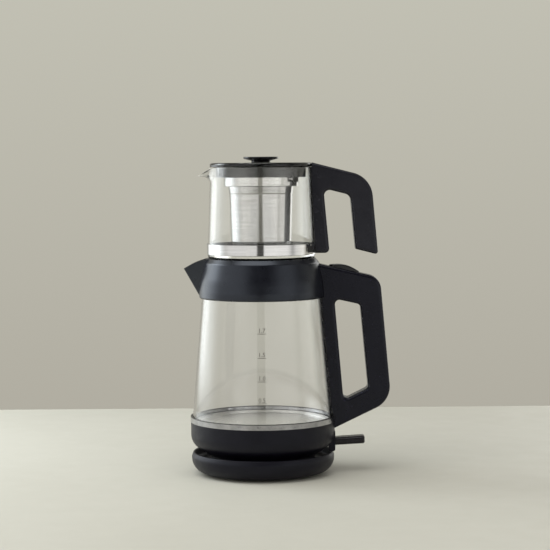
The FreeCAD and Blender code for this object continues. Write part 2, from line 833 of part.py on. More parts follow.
def base_connector():
    """Round socket: a post with an annular groove and a middle bore for the kettle's pin."""
    turned("base_connector", [
        ("0", "socket_bottom"),
        ("socket_skirt", "socket_bottom"),
        ("socket_skirt", "flange_bottom"),
        ("socket_flange", "flange_bottom"),
        ("socket_flange", "dish_underside"),
        ("post_radius", "dish_underside"),
        ("post_radius", "post_height", "small_round"),
        ("groove_outer", "post_height"),
        ("groove_outer", "groove_floor"),
        ("groove_inner", "groove_floor"),
        ("groove_inner", "post_height", "small_round"),
        ("pin_passage", "post_height"),
        ("pin_passage", "sleeve_top"),
        ("sleeve_radius", "sleeve_top"),
        ("sleeve_radius", "sleeve_bottom"),
        ("pin_passage", "sleeve_bottom"),
        ("pin_passage", "sleeve_bottom - pin_well"),
        ("0", "sleeve_bottom - pin_well"),
    ])


def base_contacts():
    """Brass sleeve round the pin and brass strip on the groove's outer wall."""
    body = new_body("base_contacts", in_pieces=True)
    turn(body, box_outline(body, "pin_radius + running", "sleeve_radius", "sleeve_bottom", "sleeve_top"))
    turn(body, box_outline(body, "groove_outer - contact_thickness", "groove_outer",
                           "groove_floor + contact_lift", "post_height - contact_recess"))


def cord_gland():
    """Rubber sleeve at the back that the mains cord passes through."""
    body = turned("cord_gland", [
        ("gland_bore_radius", "0"),
        ("gland_radius", "0"),
        ("gland_radius", "gland_length - gland_taper_length"),
        ("gland_radius - gland_taper", "gland_length"),
        ("gland_bore_radius", "gland_length"),
    ])
    place(body, depth="gland_start", up="gland_height", axis=Vector(1, 0, 0), angle="-90")


# ---------------------------------------------------------------- kettle base
def kettle_pin():
    """Round contact pin that the kettle turns about."""
    turned("kettle_pin", [
        ("0", "pin_tip_height"),
        ("pin_radius - pin_point", "pin_tip_height"),
        ("pin_radius", "pin_tip_height + pin_point_length"),
        ("pin_radius", "plug_hub_height + running"),
        ("pin_head_radius", "plug_hub_height + running"),
        ("pin_head_radius", "plug_hub_height + running + pin_head_height"),
        ("0", "plug_hub_height + running + pin_head_height"),
    ])


def kettle_connector():
    """Plug side of the round connector: skirt for the groove, flange and pin hub."""
    turned("kettle_connector", [
        ("pin_radius + running", "plug_ceiling"),
        ("plug_inner", "plug_ceiling"),
        ("plug_inner", "plug_bottom"),
        ("plug_outer", "plug_bottom"),
        ("plug_outer", "plug_ceiling"),
        ("plug_body_radius", "plug_ceiling"),
        ("plug_body_radius", "plug_seat"),
        ("plug_flange", "plug_seat"),
        ("plug_flange", "plug_top"),
        ("plug_hub_radius", "plug_top"),
        ("plug_hub_radius", "plug_hub_height"),
        ("pin_radius + running", "plug_hub_height"),
    ])


def connector_ring():
    """Brass ring round the plug's skirt."""
    body = new_body("connector_ring")
    inner = "plug_outer + thread"
    turn(body, box_outline(body, inner, f"{inner} + contact_thickness", "plug_bottom + contact_lift",
                           "plug_ceiling - contact_recess"))


def kettle_underside():
    """Bottom plate of the kettle with its standing ring and the well over the base's hub."""
    body = turned("kettle_underside", [
        ("plug_body_radius + fit", "underside_ceiling"),
        ("well_radius", "underside_ceiling"),
        ("well_radius", "housing_bottom"),
        ("stand_radius - stand_width", "housing_bottom"),
        ("stand_radius - stand_width", "dish_height", "stand_round"),
        ("stand_radius", "dish_height", "stand_round"),
        ("stand_radius", "housing_bottom"),
        ("underside_radius", "housing_bottom"),
        ("underside_radius", "housing_bottom + underside_thickness"),
        ("well_radius + wall", "housing_bottom + underside_thickness"),
        ("well_radius + wall", "plug_seat"),
        ("plug_body_radius + fit", "plug_seat"),
    ])
    hole = drill(body, "plug_screw_circle", "0", "screw_hole", "underside_ceiling - through",
                 "underside_thickness + 2 * through")
    repeat(body, [hole], "plug_screw_count")


def underside_screws():
    """Three screws that hold plug and bottom plate to the control unit."""
    body = new_body("underside_screws", in_pieces=True)
    head = peg(body, "plug_screw_circle", "0", "plug_screw_head",
               "underside_ceiling - plug_screw_head_height", "plug_screw_head_height")
    shank = peg(body, "plug_screw_circle", "0", "screw_radius", "underside_ceiling", "plug_screw_length")
    repeat(body, [head, shank], "plug_screw_count")


def control_unit():
    """Switch and thermostat block under the heater, with the fork that carries the lever."""
    body = turned("control_unit", [
        ("plug_hub_radius + fit", "plug_top"),
        ("plug_flange + fit", "plug_top"),
        ("plug_flange + fit", "plug_seat"),
        ("control_radius", "plug_seat"),
        ("control_radius", "control_top", "control_round"),
        ("control_neck", "control_top"),
        ("control_neck", "spreader_bottom"),
        ("0", "spreader_bottom"),
        ("0", "plug_hub_height + pin_head_room"),
        ("plug_hub_radius + fit", "plug_hub_height + pin_head_room"),
    ])
    arm = box_outline(body, "control_neck", "lever_pivot + lever_fork", "lever_height - lever_fork",
                      "lever_height + lever_fork", bend="fork_round")
    extrude(body, arm, "fork_width")
    space = box_outline(body, "lever_pivot - 1.5 * lever_fork", "lever_pivot + 2 * lever_fork",
                        "lever_height - 2 * lever_fork", "lever_height + 2 * lever_fork")
    cut(body, space, "lever_width + 2 * lever_side_gap")
    bore = circle(body, "lever_pivot", "lever_height", "lever_pin_radius + thread", "XZ_Plane")
    cut(body, bore, "fork_width + 2 * through")
    hole = drill(body, "plug_screw_circle", "0", "screw_hole", "plug_seat",
                 "plug_screw_length - underside_thickness + through")
    repeat(body, [hole], "plug_screw_count")


def lever_pin():
    """Steel pin through the fork and the lever."""
    body = new_body("lever_pin")
    section = circle(body, "lever_pivot", "lever_height", "lever_pin_radius", "XZ_Plane")
    extrude(body, section, "fork_width")


def switch_lever():
    """Rocking on-off lever that sticks out below the handle."""
    body = new_body("switch_lever")
    root = "lever_pivot - lever_fork + lever_side_gap"
    arm = outline(body, [
        (root, "lever_height - lever_root_thickness / 2", "lever_root_round"),
        ("lever_reach", "lever_tip_height - lever_tip_thickness / 2", "lever_round"),
        ("lever_reach", "lever_tip_height + lever_tip_thickness / 2", "lever_round"),
        (root, "lever_height + lever_root_thickness / 2", "lever_root_round"),
    ])
    block = extrude(body, arm, "lever_width")
    round_edges(body, block, "lever_plan_round", lambda edge: edge.BoundBox.XLength < TOUCHING
                and edge.BoundBox.ZLength > 1 and edge.BoundBox.XMax > value("lever_reach") - 1)
    bore = circle(body, "lever_pivot", "lever_height", "lever_pin_radius + running", "XZ_Plane")
    cut(body, bore, "lever_width + 2 * through")


def kettle_housing():
    """Dark shell round the heater, with ledges for plate and seal and a shroud round the lever."""
    body = turned("kettle_housing", [
        ("opening_radius", "housing_bottom"),
        ("housing_foot", "housing_bottom"),
        ("housing_radius", "housing_corner", "housing_bend"),
        ("housing_radius", "ring_bottom"),
        ("seal_radius", "ring_bottom"),
        ("seal_radius", "seal_bottom"),
        ("seal_inner", "seal_bottom"),
        ("seal_inner", "heater_bottom"),
        ("ledge_radius", "heater_bottom"),
        ("ledge_radius", "ledge_bottom"),
        ("housing_inner", "ledge_bottom - ledge_width"),
        ("housing_inner", "housing_floor + (housing_inner - housing_foot) * housing_slope",
         "housing_bend - wall"),
        ("opening_radius", "housing_floor + (opening_radius - housing_foot) * housing_slope"),
    ])
    shroud = box_outline(body, "housing_radius - shroud_root", "shroud_reach", "housing_bottom + shroud_lift",
                         "ring_bottom - shroud_drop", bend="shroud_round")
    extrude(body, shroud, "shroud_width")
    hollow = box_outline(body, "lever_pivot - 2 * lever_fork", "housing_inner - sink",
                         "housing_bottom + shroud_lift + wall", "ledge_bottom - ledge_width")
    cut(body, hollow, "fork_width + lever_fork / 2")
    slot = box_outline(body, "lever_pivot", "shroud_reach + through",
                       "lever_height - lever_root_thickness / 2 - lever_drop",
                       "lever_height + lever_root_thickness / 2 + slot_head_room")
    cut(body, slot, "lever_width + 2 * socket_gap")
    notch = box_outline(body, "ledge_radius - through", "housing_radius + through",
                        "heater_bottom - lug_thickness - fit", "heater_bottom")
    cut(body, notch, "lug_width + 2 * fit")


def heating_element():
    """Bent tube heater under the plate with its two ends turned down."""
    ring = document.addObject("Part::Torus", "element_ring")
    ring.setExpression("Radius1", on_sheet("element_radius"))
    ring.setExpression("Radius2", on_sheet("element_tube"))
    ring.setExpression("Angle3", on_sheet("element_angle"))
    ring.setExpression(".Placement.Base.z", on_sheet("spreader_bottom - element_tube"))
    ends = []
    for name, angle in (("element_start", "0"), ("element_end", "element_angle")):
        end = document.addObject("Part::Cylinder", name)
        end.setExpression("Radius", on_sheet("element_tube - terminal_step"))
        end.setExpression("Height", on_sheet("terminal_length"))
        end.setExpression(".Placement.Base.x", on_sheet(f"element_radius * cos({angle})"))
        end.setExpression(".Placement.Base.y", on_sheet(f"element_radius * sin({angle})"))
        end.setExpression(".Placement.Base.z", on_sheet("spreader_bottom - element_tube - terminal_length"))
        ends.append(end)
    element = document.addObject("Part::MultiFuse", "heating_element")
    element.Shapes = [ring] + ends
    element.Label = "heating_element"
    element.Placement = Placement(Vector(), Rotation(Vector(0, 0, 1), 1))
    element.setExpression(".Placement.Rotation.Angle", on_sheet("element_turn_angle"))
    nodes.append(element)


def heat_spreader():
    """Aluminium disc between element and steel plate."""
    body = new_body("heat_spreader")
    turn(body, box_outline(body, "0", "spreader_radius", "spreader_bottom", "heater_bottom"))


def heater_plate():
    """Steel floor of the kettle with a turned-up lip."""
    turned("heater_plate", [
        ("0", "heater_bottom"),
        ("heater_radius", "heater_bottom", "heater_bend"),
        ("heater_radius", "heater_height + heater_lip"),
        ("heater_radius - heater_sheet", "heater_height + heater_lip"),
        ("heater_radius - heater_sheet", "heater_height", "small_round"),
        ("0", "heater_height"),
    ])


def glass_seal():
    """Rubber ring under and inside the glass's lower edge."""
    turned("glass_seal", [
        ("seal_inner", "seal_bottom"),
        ("seal_outer", "seal_bottom"),
        ("seal_outer", "glass_bottom"),
        ("glass_inner_bottom - ring_grip", "glass_bottom"),
        ("glass_inner_bottom - ring_grip", "glass_bottom + seal_lip"),
        ("seal_inner", "glass_bottom + seal_lip"),
    ])


def trim_ring():
    """Polished ring that covers the joint of glass and housing."""
    turned("trim_ring", [
        ("seal_radius", "ring_bottom"),
        ("ring_radius", "ring_bottom"),
        ("ring_radius", "ring_top", "ring_round"),
        ("glass_radius - ring_grip", "ring_top"),
        ("glass_radius - ring_grip", "ring_top - ring_sheet"),
        ("seal_radius", "ring_top - 2 * ring_sheet"),
    ])


def kettle_glass():
    """Tapered glass jug wall, open at both ends."""
    turned("kettle_glass", [
        ("glass_inner_bottom", "glass_bottom"),
        ("glass_radius", "glass_bottom"),
        ("shoulder_radius", "shoulder_height", "shoulder_bend"),
        ("glass_top_radius", "glass_top", "glass_round"),
        ("glass_inner_top", "glass_top", "glass_round"),
        ("shoulder_radius - glass_wall", "shoulder_height", "shoulder_bend"),
    ])


# ---------------------------------------------------------------- collar, spout and lid
def spout_section(body, level, apex, root_width):
    """Wedge seen from above, from inside the collar to the spout's rounded nose."""
    root = "-(mouth_radius + spout_root_gap)"
    return outline(body, [
        (root, f"-({root_width}) / 2"),
        (apex, "-spout_nose_width / 2", "spout_nose_bend"),
        (apex, "spout_nose_width / 2", "spout_nose_bend"),
        (root, f"({root_width}) / 2"),
    ], "XY_Plane", level)


def trough_section(body, reach, floor, floor_width, top_width):
    """Open channel of the spout, cut square to its length."""
    return outline(body, [
        (f"-({floor_width}) / 2", floor),
        (f"({floor_width}) / 2", floor),
        (f"({top_width}) / 2", "collar_top + spout_rise"),
        (f"-({top_width}) / 2", "collar_top + spout_rise"),
    ], "YZ_Plane", f"-({reach})")


def kettle_collar():
    """Ring on top of the glass with the pouring spout, the teapot's seat and the lid's mouth."""
    body = turned("kettle_collar", [
        ("collar_mouth", "collar_bottom"),
        ("collar_radius", "collar_bottom", "collar_foot_round"),
        ("collar_radius", "collar_bottom + collar_foot_height", "collar_foot_bend"),
        ("collar_belly_radius", "collar_belly_height", "collar_belly_bend"),
        ("collar_edge_radius", "collar_edge_height", "collar_edge_bend"),
        ("collar_rim_radius", "collar_top", "small_round"),
        ("seat_radius", "collar_top"),
        ("seat_radius", "seat_height"),
        ("mouth_radius", "seat_height"),
        ("mouth_radius", "mouth_floor"),
        ("mouth_radius - mouth_ledge", "mouth_floor"),
        ("mouth_radius - mouth_ledge", "seat_underside"),
        ("cavity_radius", "seat_underside", "cavity_bend"),
        ("glass_inner_top - fit", "collar_ceiling"),
        ("collar_bore", "collar_ceiling"),
        ("collar_bore", "glass_top"),
    ])
    add_spout(body)
    cut_hinge_and_latch(body)
    for side in (-1, 1):
        spot = (f"{side} * handle_screw_spacing", "handle_screw_height")
        drill(body, *spot, "screw_head_radius + fit", "mouth_radius", "handle_screw_face - mouth_radius",
              "YZ_Plane")
        drill(body, *spot, "screw_hole", "mouth_radius", "collar_radius - mouth_radius", "YZ_Plane")


def add_spout(body):
    """Wedge-shaped spout with its open trough and the window that the water leaves through."""
    top_reach = "spout_heel + spout_slant * (collar_top - spout_heel_height)"
    loft(body, [
        spout_section(body, "spout_heel_height", "-spout_heel", "spout_root_width - spout_flare"),
        spout_section(body, "collar_top", f"-({top_reach})", "spout_root_width"),
    ], "PartDesign::AdditiveLoft")
    keep_out = outline(body, [
        ("0", "collar_bottom - through"),
        ("collar_mouth", "collar_bottom - through"),
        ("collar_mouth", "collar_bottom"),
        ("collar_bore", "glass_top"),
        ("collar_bore", "collar_ceiling"),
        ("glass_inner_top - fit", "collar_ceiling"),
        ("cavity_radius", "seat_underside", "cavity_bend"),
        ("0", "seat_underside"),
    ])
    turn(body, keep_out, "PartDesign::Groove")
    beyond = "-spout_reach - spout_flare"
    above = outline(body, [
        ("-collar_rim_radius - fit", "collar_top"),
        ("-(collar_rim_radius + spout_reach) / 2 - spout_brow_shift",
         "(collar_top + spout_tip_height) / 2 + spout_brow", "spout_brow_bend"),
        ("-spout_reach - fit", "spout_tip_height"),
        (beyond, "spout_tip_height"),
        (beyond, "collar_top + through"),
        ("-collar_rim_radius - fit", "collar_top + through"),
    ])
    cut(body, above, "2 * spout_root_width")
    mouth = circle(body, "0", "0", "seat_radius", "XY_Plane", "seat_height")
    cut(body, mouth, "spout_root_width", symmetric=False, reverse=True)
    loft(body, [
        trough_section(body, "trough_start", "spout_floor", "trough_width", "trough_width + trough_flare"),
        trough_section(body, "spout_reach + 2 * through", "spout_floor + spout_rise", "trough_nose",
                       "trough_nose + trough_nose_flare"),
    ], "PartDesign::SubtractiveLoft")
    window = box_outline(body, "-trough_start - through", "-cavity_radius + cavity_bend", "spout_floor",
                         "spout_floor + window_height")
    cut(body, window, "trough_width")


def cut_hinge_and_latch(body):
    """Notch and bore for the lid's hinge, and the slot that the latch slides in."""
    hinge_notch = box_outline(body, "mouth_radius - mouth_ledge - knuckle_radius",
                              "hinge_reach + knuckle_radius + knuckle_gap", "seat_underside - through",
                              "collar_top + through")
    cut(body, hinge_notch, "knuckle_width + 2 * knuckle_gap")
    hinge_bore = circle(body, "hinge_reach", "hinge_height", "hinge_pin_radius + running", "XZ_Plane")
    cut(body, hinge_bore, "hinge_pin_length + through")
    latch_notch = box_outline(body, "hinge_reach", "cavity_radius - latch_gap", "seat_underside - through",
                              "collar_top + through")
    cut(body, latch_notch, "latch_width + 3 * latch_gap")
    latch_slot = box_outline(body, "cavity_radius - knuckle_radius", "collar_radius + knuckle_radius",
                             "latch_bar_bottom - latch_gap", "latch_bar_top + latch_gap")
    cut(body, latch_slot, "latch_width + 2 * latch_gap")


def collar_seal():
    """Flat rubber ring between the glass's top edge and the collar."""
    body = new_body("collar_seal")
    turn(body, box_outline(body, "glass_inner_top", "glass_top_radius + fit", "glass_top", "collar_ceiling"))


def spout_filter():
    """Curved grille inside the collar in front of the spout's window."""
    body = new_body("spout_filter")
    outer = "cavity_radius - latch_gap"
    strip = box_outline(body, f"{outer} - filter_thickness", outer, "spout_floor - filter_thickness",
                        "seat_underside - cavity_bend")
    turn(body, strip, sweep="filter_angle")
    for column in (-2, -1, 0, 1, 2):
        centre = f"{column} * filter_pitch"
        hole = box_outline(body, f"{centre} - filter_slot / 2", f"{centre} + filter_slot / 2",
                           "spout_floor + filter_thickness", "seat_underside - cavity_bend - filter_slot",
                           "YZ_Plane", "mouth_radius")
        cut(body, hole, "cavity_radius - mouth_radius", symmetric=False, reverse=True)
    place(body, angle="180")


def kettle_lid():
    """Hinged lid in the collar's mouth, with a knuckle on the handle side and steam holes."""
    body = turned("kettle_lid", [
        ("0", "lid_crown - lid_sheet"),
        ("lid_radius - lid_rim - through", "lid_edge - lid_sheet + sink"),
        ("lid_radius - lid_rim", "lid_bottom"),
        ("lid_radius", "lid_bottom"),
        ("lid_radius", "lid_edge", "small_round"),
        ("lid_radius / 2", "lid_crown", "lid_crown_bend"),
        ("0", "lid_crown"),
    ])
    flat = box_outline(body, "hinge_reach - knuckle_radius - lid_flat", "lid_radius + through",
                       "lid_bottom - through", "lid_crown + through")
    cut(body, flat, "2 * lid_radius")
    arm = box_outline(body, "hinge_reach - 2 * (knuckle_radius + lid_flat)", "hinge_reach",
                      "lid_bottom + lid_lift", "hinge_height + hinge_pin_radius + lid_lift")
    extrude(body, arm, "knuckle_width")
    knuckle = circle(body, "hinge_reach", "hinge_height", "knuckle_radius", "XZ_Plane")
    extrude(body, knuckle, "knuckle_width")
    bore = circle(body, "hinge_reach", "hinge_height", "hinge_pin_radius + running", "XZ_Plane")
    cut(body, bore, "knuckle_width + 2 * through")
    steam = drill(body, "steam_hole_circle * cos(steam_hole_angle)",
                  "steam_hole_circle * sin(steam_hole_angle)", "steam_hole_radius",
                  "lid_bottom - through", "mouth_depth + 2 * through")
    repeat(body, [steam], "steam_holes")


def hinge_pin():
    """Steel pin through the lid's knuckle, held in the collar."""
    body = new_body("hinge_pin")
    section = circle(body, "hinge_reach", "hinge_height", "hinge_pin_radius", "XZ_Plane")
    extrude(body, section, "hinge_pin_length")


# ---------------------------------------------------------------- kettle handle
def kettle_handle():
    """Closed loop handle, its inner side fitted to collar, glass, ring and housing."""
    body = new_body("kettle_handle")
    inside = "collar_rim_radius - wall"
    side = outline(body, [
        (inside, f"handle_start_height + (handle_start - {inside}) * tan(handle_tilt)"),
        ("handle_top_reach", "handle_top_height", "handle_top_bend"),
        ("handle_low_reach", "handle_low_height", "handle_low_bend"),
        ("housing_radius", "handle_end_height"),
        ("housing_radius - handle_root", "handle_end_height - handle_root * handle_base_slope"),
        (inside, "handle_end_height - handle_root * handle_base_slope"),
    ])
    extrude(body, side, "handle_width")
    loop = outline(body, [
        ("loop_left", "loop_left_height", "loop_bend"),
        ("loop_right", "loop_right_height", "loop_bend"),
        ("loop_low_right", "loop_low_right_height", "loop_bend"),
        ("loop_low_left", "loop_low_left_height", "loop_bend"),
    ])
    opened = cut(body, loop, "2 * handle_width")
    round_edges(body, opened, "handle_round", lambda edge: on_side(edge, value("handle_half"))
                and edge.BoundBox.XMin > value("loop_right"))
    envelope = outline(body, [
        ("0", "handle_end_height - handle_width"),
        ("housing_radius + fit", "handle_end_height - handle_width"),
        ("housing_radius + fit", "ring_bottom"),
        ("ring_radius + fit", "ring_bottom"),
        ("ring_radius + fit", "ring_top + fit"),
        ("glass_radius + glass_gap", "ring_top + fit"),
        ("shoulder_radius + glass_gap", "shoulder_height"),
        ("collar_mouth", "collar_bottom - fit"),
        ("collar_radius + fit", "collar_bottom - fit"),
        ("collar_radius + fit", "collar_bottom + collar_foot_height", "collar_foot_bend"),
        ("collar_belly_radius + fit", "collar_belly_height", "collar_belly_bend"),
        ("collar_edge_radius + fit", "collar_edge_height", "collar_edge_bend"),
        ("collar_rim_radius + fit", "collar_top + fit"),
        ("0", "collar_top + fit"),
    ])
    turn(body, envelope, "PartDesign::Groove")
    lug = box_outline(body, "ledge_radius", "housing_radius + lug_root", "heater_bottom - lug_thickness",
                      "heater_bottom")
    extrude(body, lug, "lug_width")
    half_length = "(button_length / 2 + fit)"
    half_width = "(button_width / 2 + fit)"
    button_space = box_outline(body, f"-{half_length}", half_length, f"-{half_width}", half_width, "XY_Plane",
                               bend="button_corner", tilted_at=BUTTON_SPOT)
    cut(body, button_space, "button_pocket * 2")
    latch_space = box_outline(body, "collar_rim_radius", "latch_right + latch_travel + 1.5 * latch_gap",
                              "latch_bar_bottom - latch_gap", "latch_bar_top + latch_gap")
    cut(body, latch_space, "latch_width + 2 * latch_gap")
    for screw_side in (-1, 1):
        drill(body, f"{screw_side} * handle_screw_spacing", "handle_screw_height", "screw_hole",
              "handle_screw_face", "handle_screw_length + through", "YZ_Plane")


def handle_screws():
    """Two screws from inside the collar into the handle."""
    body = new_body("handle_screws", in_pieces=True)
    for side in (-1, 1):
        spot = (f"{side} * handle_screw_spacing", "handle_screw_height")
        peg(body, *spot, "screw_head_radius", "handle_screw_face - screw_head_height",
            "screw_head_height", "YZ_Plane")
        peg(body, *spot, "screw_radius", "handle_screw_face", "handle_screw_length", "YZ_Plane")


BUTTON_SPOT = ("button_centre", "button_level")


def lid_release_button():
    """Domed push button let into the handle's sloping top."""
    body = new_body("lid_release_button")
    plan = box_outline(body, "-button_length / 2", "button_length / 2", "-button_width / 2",
                       "button_width / 2", "XY_Plane", "-button_depth", "button_corner")
    extrude(body, plan, "button_depth + button_crown", symmetric=False)
    above = outline(body, [
        ("-button_length / 2 - through", "button_edge"),
        ("0", "button_crown", "button_crown_bend"),
        ("button_length / 2 + through", "button_edge"),
        ("button_length / 2 + through", "2 * button_crown"),
        ("-button_length / 2 - through", "2 * button_crown"),
    ])
    domed = cut(body, above, "button_width + 2 * through")
    round_edges(body, domed, "button_edge_round",
                lambda edge: edge.BoundBox.ZMin > 0 and edge.BoundBox.ZMax > value("button_edge"))
    place(body, BUTTON_SPOT[0], "0", BUTTON_SPOT[1], Vector(0, 1, 0), "handle_tilt")


def button_spring():
    """Bowed leaf spring between the button and the floor of its pocket."""
    body = new_body("button_spring")
    crest = "-button_depth - running"
    strip = outline(body, [
        ("-spring_half", "-button_pocket"),
        ("-spring_top", f"{crest} - spring_sheet", "spring_top"),
        ("spring_top", f"{crest} - spring_sheet", "spring_top"),
        ("spring_half", "-button_pocket"),
        ("spring_half + spring_sheet", "-button_pocket + spring_sheet"),
        ("spring_top + spring_sheet / 2", crest, "spring_top + spring_sheet"),
        ("-spring_top - spring_sheet / 2", crest, "spring_top + spring_sheet"),
        ("-spring_half - spring_sheet", "-button_pocket + spring_sheet"),
    ])
    extrude(body, strip, "spring_width")
    place(body, BUTTON_SPOT[0], "0", BUTTON_SPOT[1], Vector(0, 1, 0), "handle_tilt")


def lid_latch():
    """Sliding catch from the handle to the lid's knuckle."""
    body = new_body("lid_latch")
    stem = "latch_left + 2 * latch_chamfer"
    shape = outline(body, [
        ("latch_left + latch_chamfer", "latch_bar_bottom"),
        ("latch_right", "latch_bar_bottom"),
        ("latch_right", "latch_bar_top"),
        (stem, "latch_bar_top"),
        (stem, "hinge_height + latch_nose"),
        ("latch_left", "hinge_height + latch_nose"),
        ("latch_left", "hinge_height + latch_nose - latch_hook"),
        ("latch_left + latch_chamfer", "hinge_height + latch_nose - latch_hook - latch_chamfer"),
    ])
    extrude(body, shape, "latch_width")


# ---------------------------------------------------------------- teapot
def lip_section(body, reach, bottom, top, bottom_width, top_width):
    """Section across the teapot's lip, narrow below and wide above."""
    return outline(body, [
        (f"-({bottom_width}) / 2", bottom),
        (f"({bottom_width}) / 2", bottom),
        (f"({top_width}) / 2", top),
        (f"-({top_width}) / 2", top),
    ], "YZ_Plane", f"-({reach})")


def teapot_glass():
    """Straight glass pot with a raised floor, a heel and a pulled pouring lip."""
    body = turned("teapot_glass", [
        ("0", "seat_height + punt_depth"),
        ("punt_radius", "seat_height + punt_depth", "punt_bend"),
        ("punt_radius + punt_depth", "seat_height", "punt_bend - sink"),
        ("teapot_radius", "seat_height", "teapot_heel"),
        ("teapot_top_radius", "teapot_top", "teapot_rim_round"),
        ("teapot_top_radius - teapot_wall", "teapot_top", "teapot_rim_round"),
        ("teapot_radius - teapot_wall", "seat_height + teapot_floor", "teapot_floor_bend"),
        ("0", "seat_height + teapot_floor"),
    ])
    loft(body, [
        lip_section(body, "teapot_top_radius - lip_sink", "teapot_top - lip_depth",
                    "teapot_top - lip_rim_gap", "lip_foot", "lip_width"),
        lip_section(body, "lip_reach", "lip_height - lip_tip_depth", "lip_height", "lip_tip_foot",
                    "lip_tip_width"),
    ], "PartDesign::AdditiveLoft")
    above = "teapot_top + spout_flare"
    loft(body, [
        lip_section(body, "teapot_top_radius - 2 * teapot_wall", "teapot_top - lip_depth + 2 * teapot_wall",
                    above, "lip_foot - lip_tip_foot", "lip_width + through"),
        lip_section(body, "lip_reach + through", "lip_height - lip_tip_depth / 2", above, "lip_tip_foot / 3",
                    "lip_tip_width - lip_tip_foot / 2"),
    ], "PartDesign::SubtractiveLoft")


BAND_SLOTS = [(12.5, 18), (22, 33)]
BAND_SCREW_SPOT = ("(band_outer + band_tab_reach) / 2", "band_middle")


def sector(inner, outer, start, end, side):
    """Four corners of a piece of ring between two angles, on one side of the handle."""
    return [(f"({radius}) * cos({angle})", f"{side} * ({radius}) * sin({angle})")
            for radius, angle in ((inner, start), (outer, start), (outer, end), (inner, end))]


def teapot_band():
    """Steel band round the pot's foot with two tabs for the handle and four slots."""
    body = new_body("teapot_band")
    turn(body, box_outline(body, "band_inner", "band_outer", "band_bottom", "band_top"))
    for side in (-1, 1):
        tab = box_outline(body, "band_inner", "band_tab_reach", "band_bottom + band_tab_inset",
                          "band_top - band_tab_inset", shift=f"{side} * band_tab_spacing")
        extrude(body, tab, "band_tab_sheet")
        for start, end in BAND_SLOTS:
            corners = sector("band_inner - 2 * through", "band_outer + 2 * through", start, end, side)
            slot = outline(body, corners, "XY_Plane", "band_middle - band_slot_height / 2")
            cut(body, slot, "band_slot_height", symmetric=False, reverse=True)
    hole = circle(body, *BAND_SCREW_SPOT, "screw_hole", "XZ_Plane")
    cut(body, hole, "4 * band_tab_spacing")


def band_studs():
    """Dark studs that show in the band's slots."""
    body = new_body("band_studs", in_pieces=True)
    for side in (-1, 1):
        for start, end in BAND_SLOTS:
            corners = sector("band_inner + fit", "band_outer + stud_inset", f"{start} + stud_angle_gap",
                             f"{end} - stud_angle_gap", side)
            stud = outline(body, corners, "XY_Plane", "band_middle - band_slot_height / 2 + fit")
            extrude(body, stud, "band_slot_height - 2 * fit", symmetric=False)


def band_screw():
    """Cross screw that clamps the band's tabs in the handle."""
    body = new_body("band_screw")
    peg(body, *BAND_SCREW_SPOT, "screw_head_radius", "-handle_half + small_round", "band_screw_head",
        "XZ_Plane")
    peg(body, *BAND_SCREW_SPOT, "screw_radius", "-handle_half + small_round + band_screw_head",
        "band_screw_length", "XZ_Plane")


def teapot_handle():
    """Open hook handle whose spine follows the pot and takes the band's tabs."""
    body = new_body("teapot_handle")
    side = outline(body, [
        ("pot_handle_start", "pot_handle_start_height"),
        ("pot_handle_reach", "pot_handle_height", "pot_handle_bend"),
        ("pot_handle_end", "pot_handle_end_height", "pot_handle_toe_bend"),
        ("pot_handle_inner_end", "pot_handle_inner_height", "pot_handle_inner_bend"),
        ("hook_right", "hook_right_height", "hook_right_bend"),
        ("hook_left", "hook_left_height", "hook_left_bend"),
        ("spine_reach", "spine_bottom", "spine_bend"),
        ("pot_handle_start", "spine_bottom"),
    ])
    block = extrude(body, side, "handle_width")
    round_edges(body, block, "handle_round", lambda edge: on_side(edge, value("handle_half"))
                and edge.BoundBox.XMax > value("spine_reach") - 1)
    below = "spine_bottom - band_height"
    above = "pot_handle_start_height + through"
    envelope = outline(body, [
        ("0", below),
        ("band_outer + fit", below),
        ("band_outer + fit", "band_top + fit"),
        ("band_inner + fit", "band_top + fit"),
        ("teapot_top_radius + glass_gap", "teapot_top - sink"),
        ("cover_radius + 3 * fit", "teapot_top - sink"),
        ("cover_radius + 3 * fit", above),
        ("0", above),
    ])
    turn(body, envelope, "PartDesign::Groove")
    slit = box_outline(body, "band_outer - through", "band_tab_reach + 3 * fit", "spine_bottom - through",
                       "band_top - band_tab_inset + 2 * fit")
    cut(body, slit, "2 * (band_tab_spacing + band_tab_sheet)")
    head = "screw_head_radius + fit"
    drill(body, *BAND_SCREW_SPOT, "screw_hole", "-handle_half - through",
          "small_round + band_screw_head + band_screw_length + 2 * through", "XZ_Plane")
    drill(body, *BAND_SCREW_SPOT, head, "-handle_half - through", "small_round + band_screw_head + through",
          "XZ_Plane")


# ---------------------------------------------------------------- teapot lid and infuser
def teapot_cover():
    """Smoked lid with a deep skirt and two bayonet hooks for the infuser."""
    body = turned("teapot_cover", [
        ("stud_radius + thread", "cover_ceiling"),
        ("skirt_radius - skirt_wall", "cover_ceiling"),
        ("skirt_radius - skirt_wall", "skirt_bottom"),
        ("skirt_radius", "skirt_bottom"),
        ("skirt_radius + skirt_draft", "cover_bottom"),
        ("cover_radius", "cover_bottom", "small_round"),
        ("cover_radius", "cover_top", "cover_round"),
        ("stud_radius + thread", "cover_top"),
    ])
    shelf = "bayonet_bottom + bayonet_shelf"
    hook = outline(body, [
        ("bayonet_reach - bayonet_lip", "bayonet_bottom"),
        ("bayonet_reach", "bayonet_bottom"),
        ("bayonet_reach", "cover_ceiling + sink"),
        ("bayonet_reach - bayonet_stem", "cover_ceiling + sink"),
        ("bayonet_reach - bayonet_stem", shelf),
        ("bayonet_reach - bayonet_lip", shelf),
    ])
    repeat(body, [extrude(body, hook, "bayonet_width")], "bayonet_count")
    place(body, angle="-bayonet_angle")


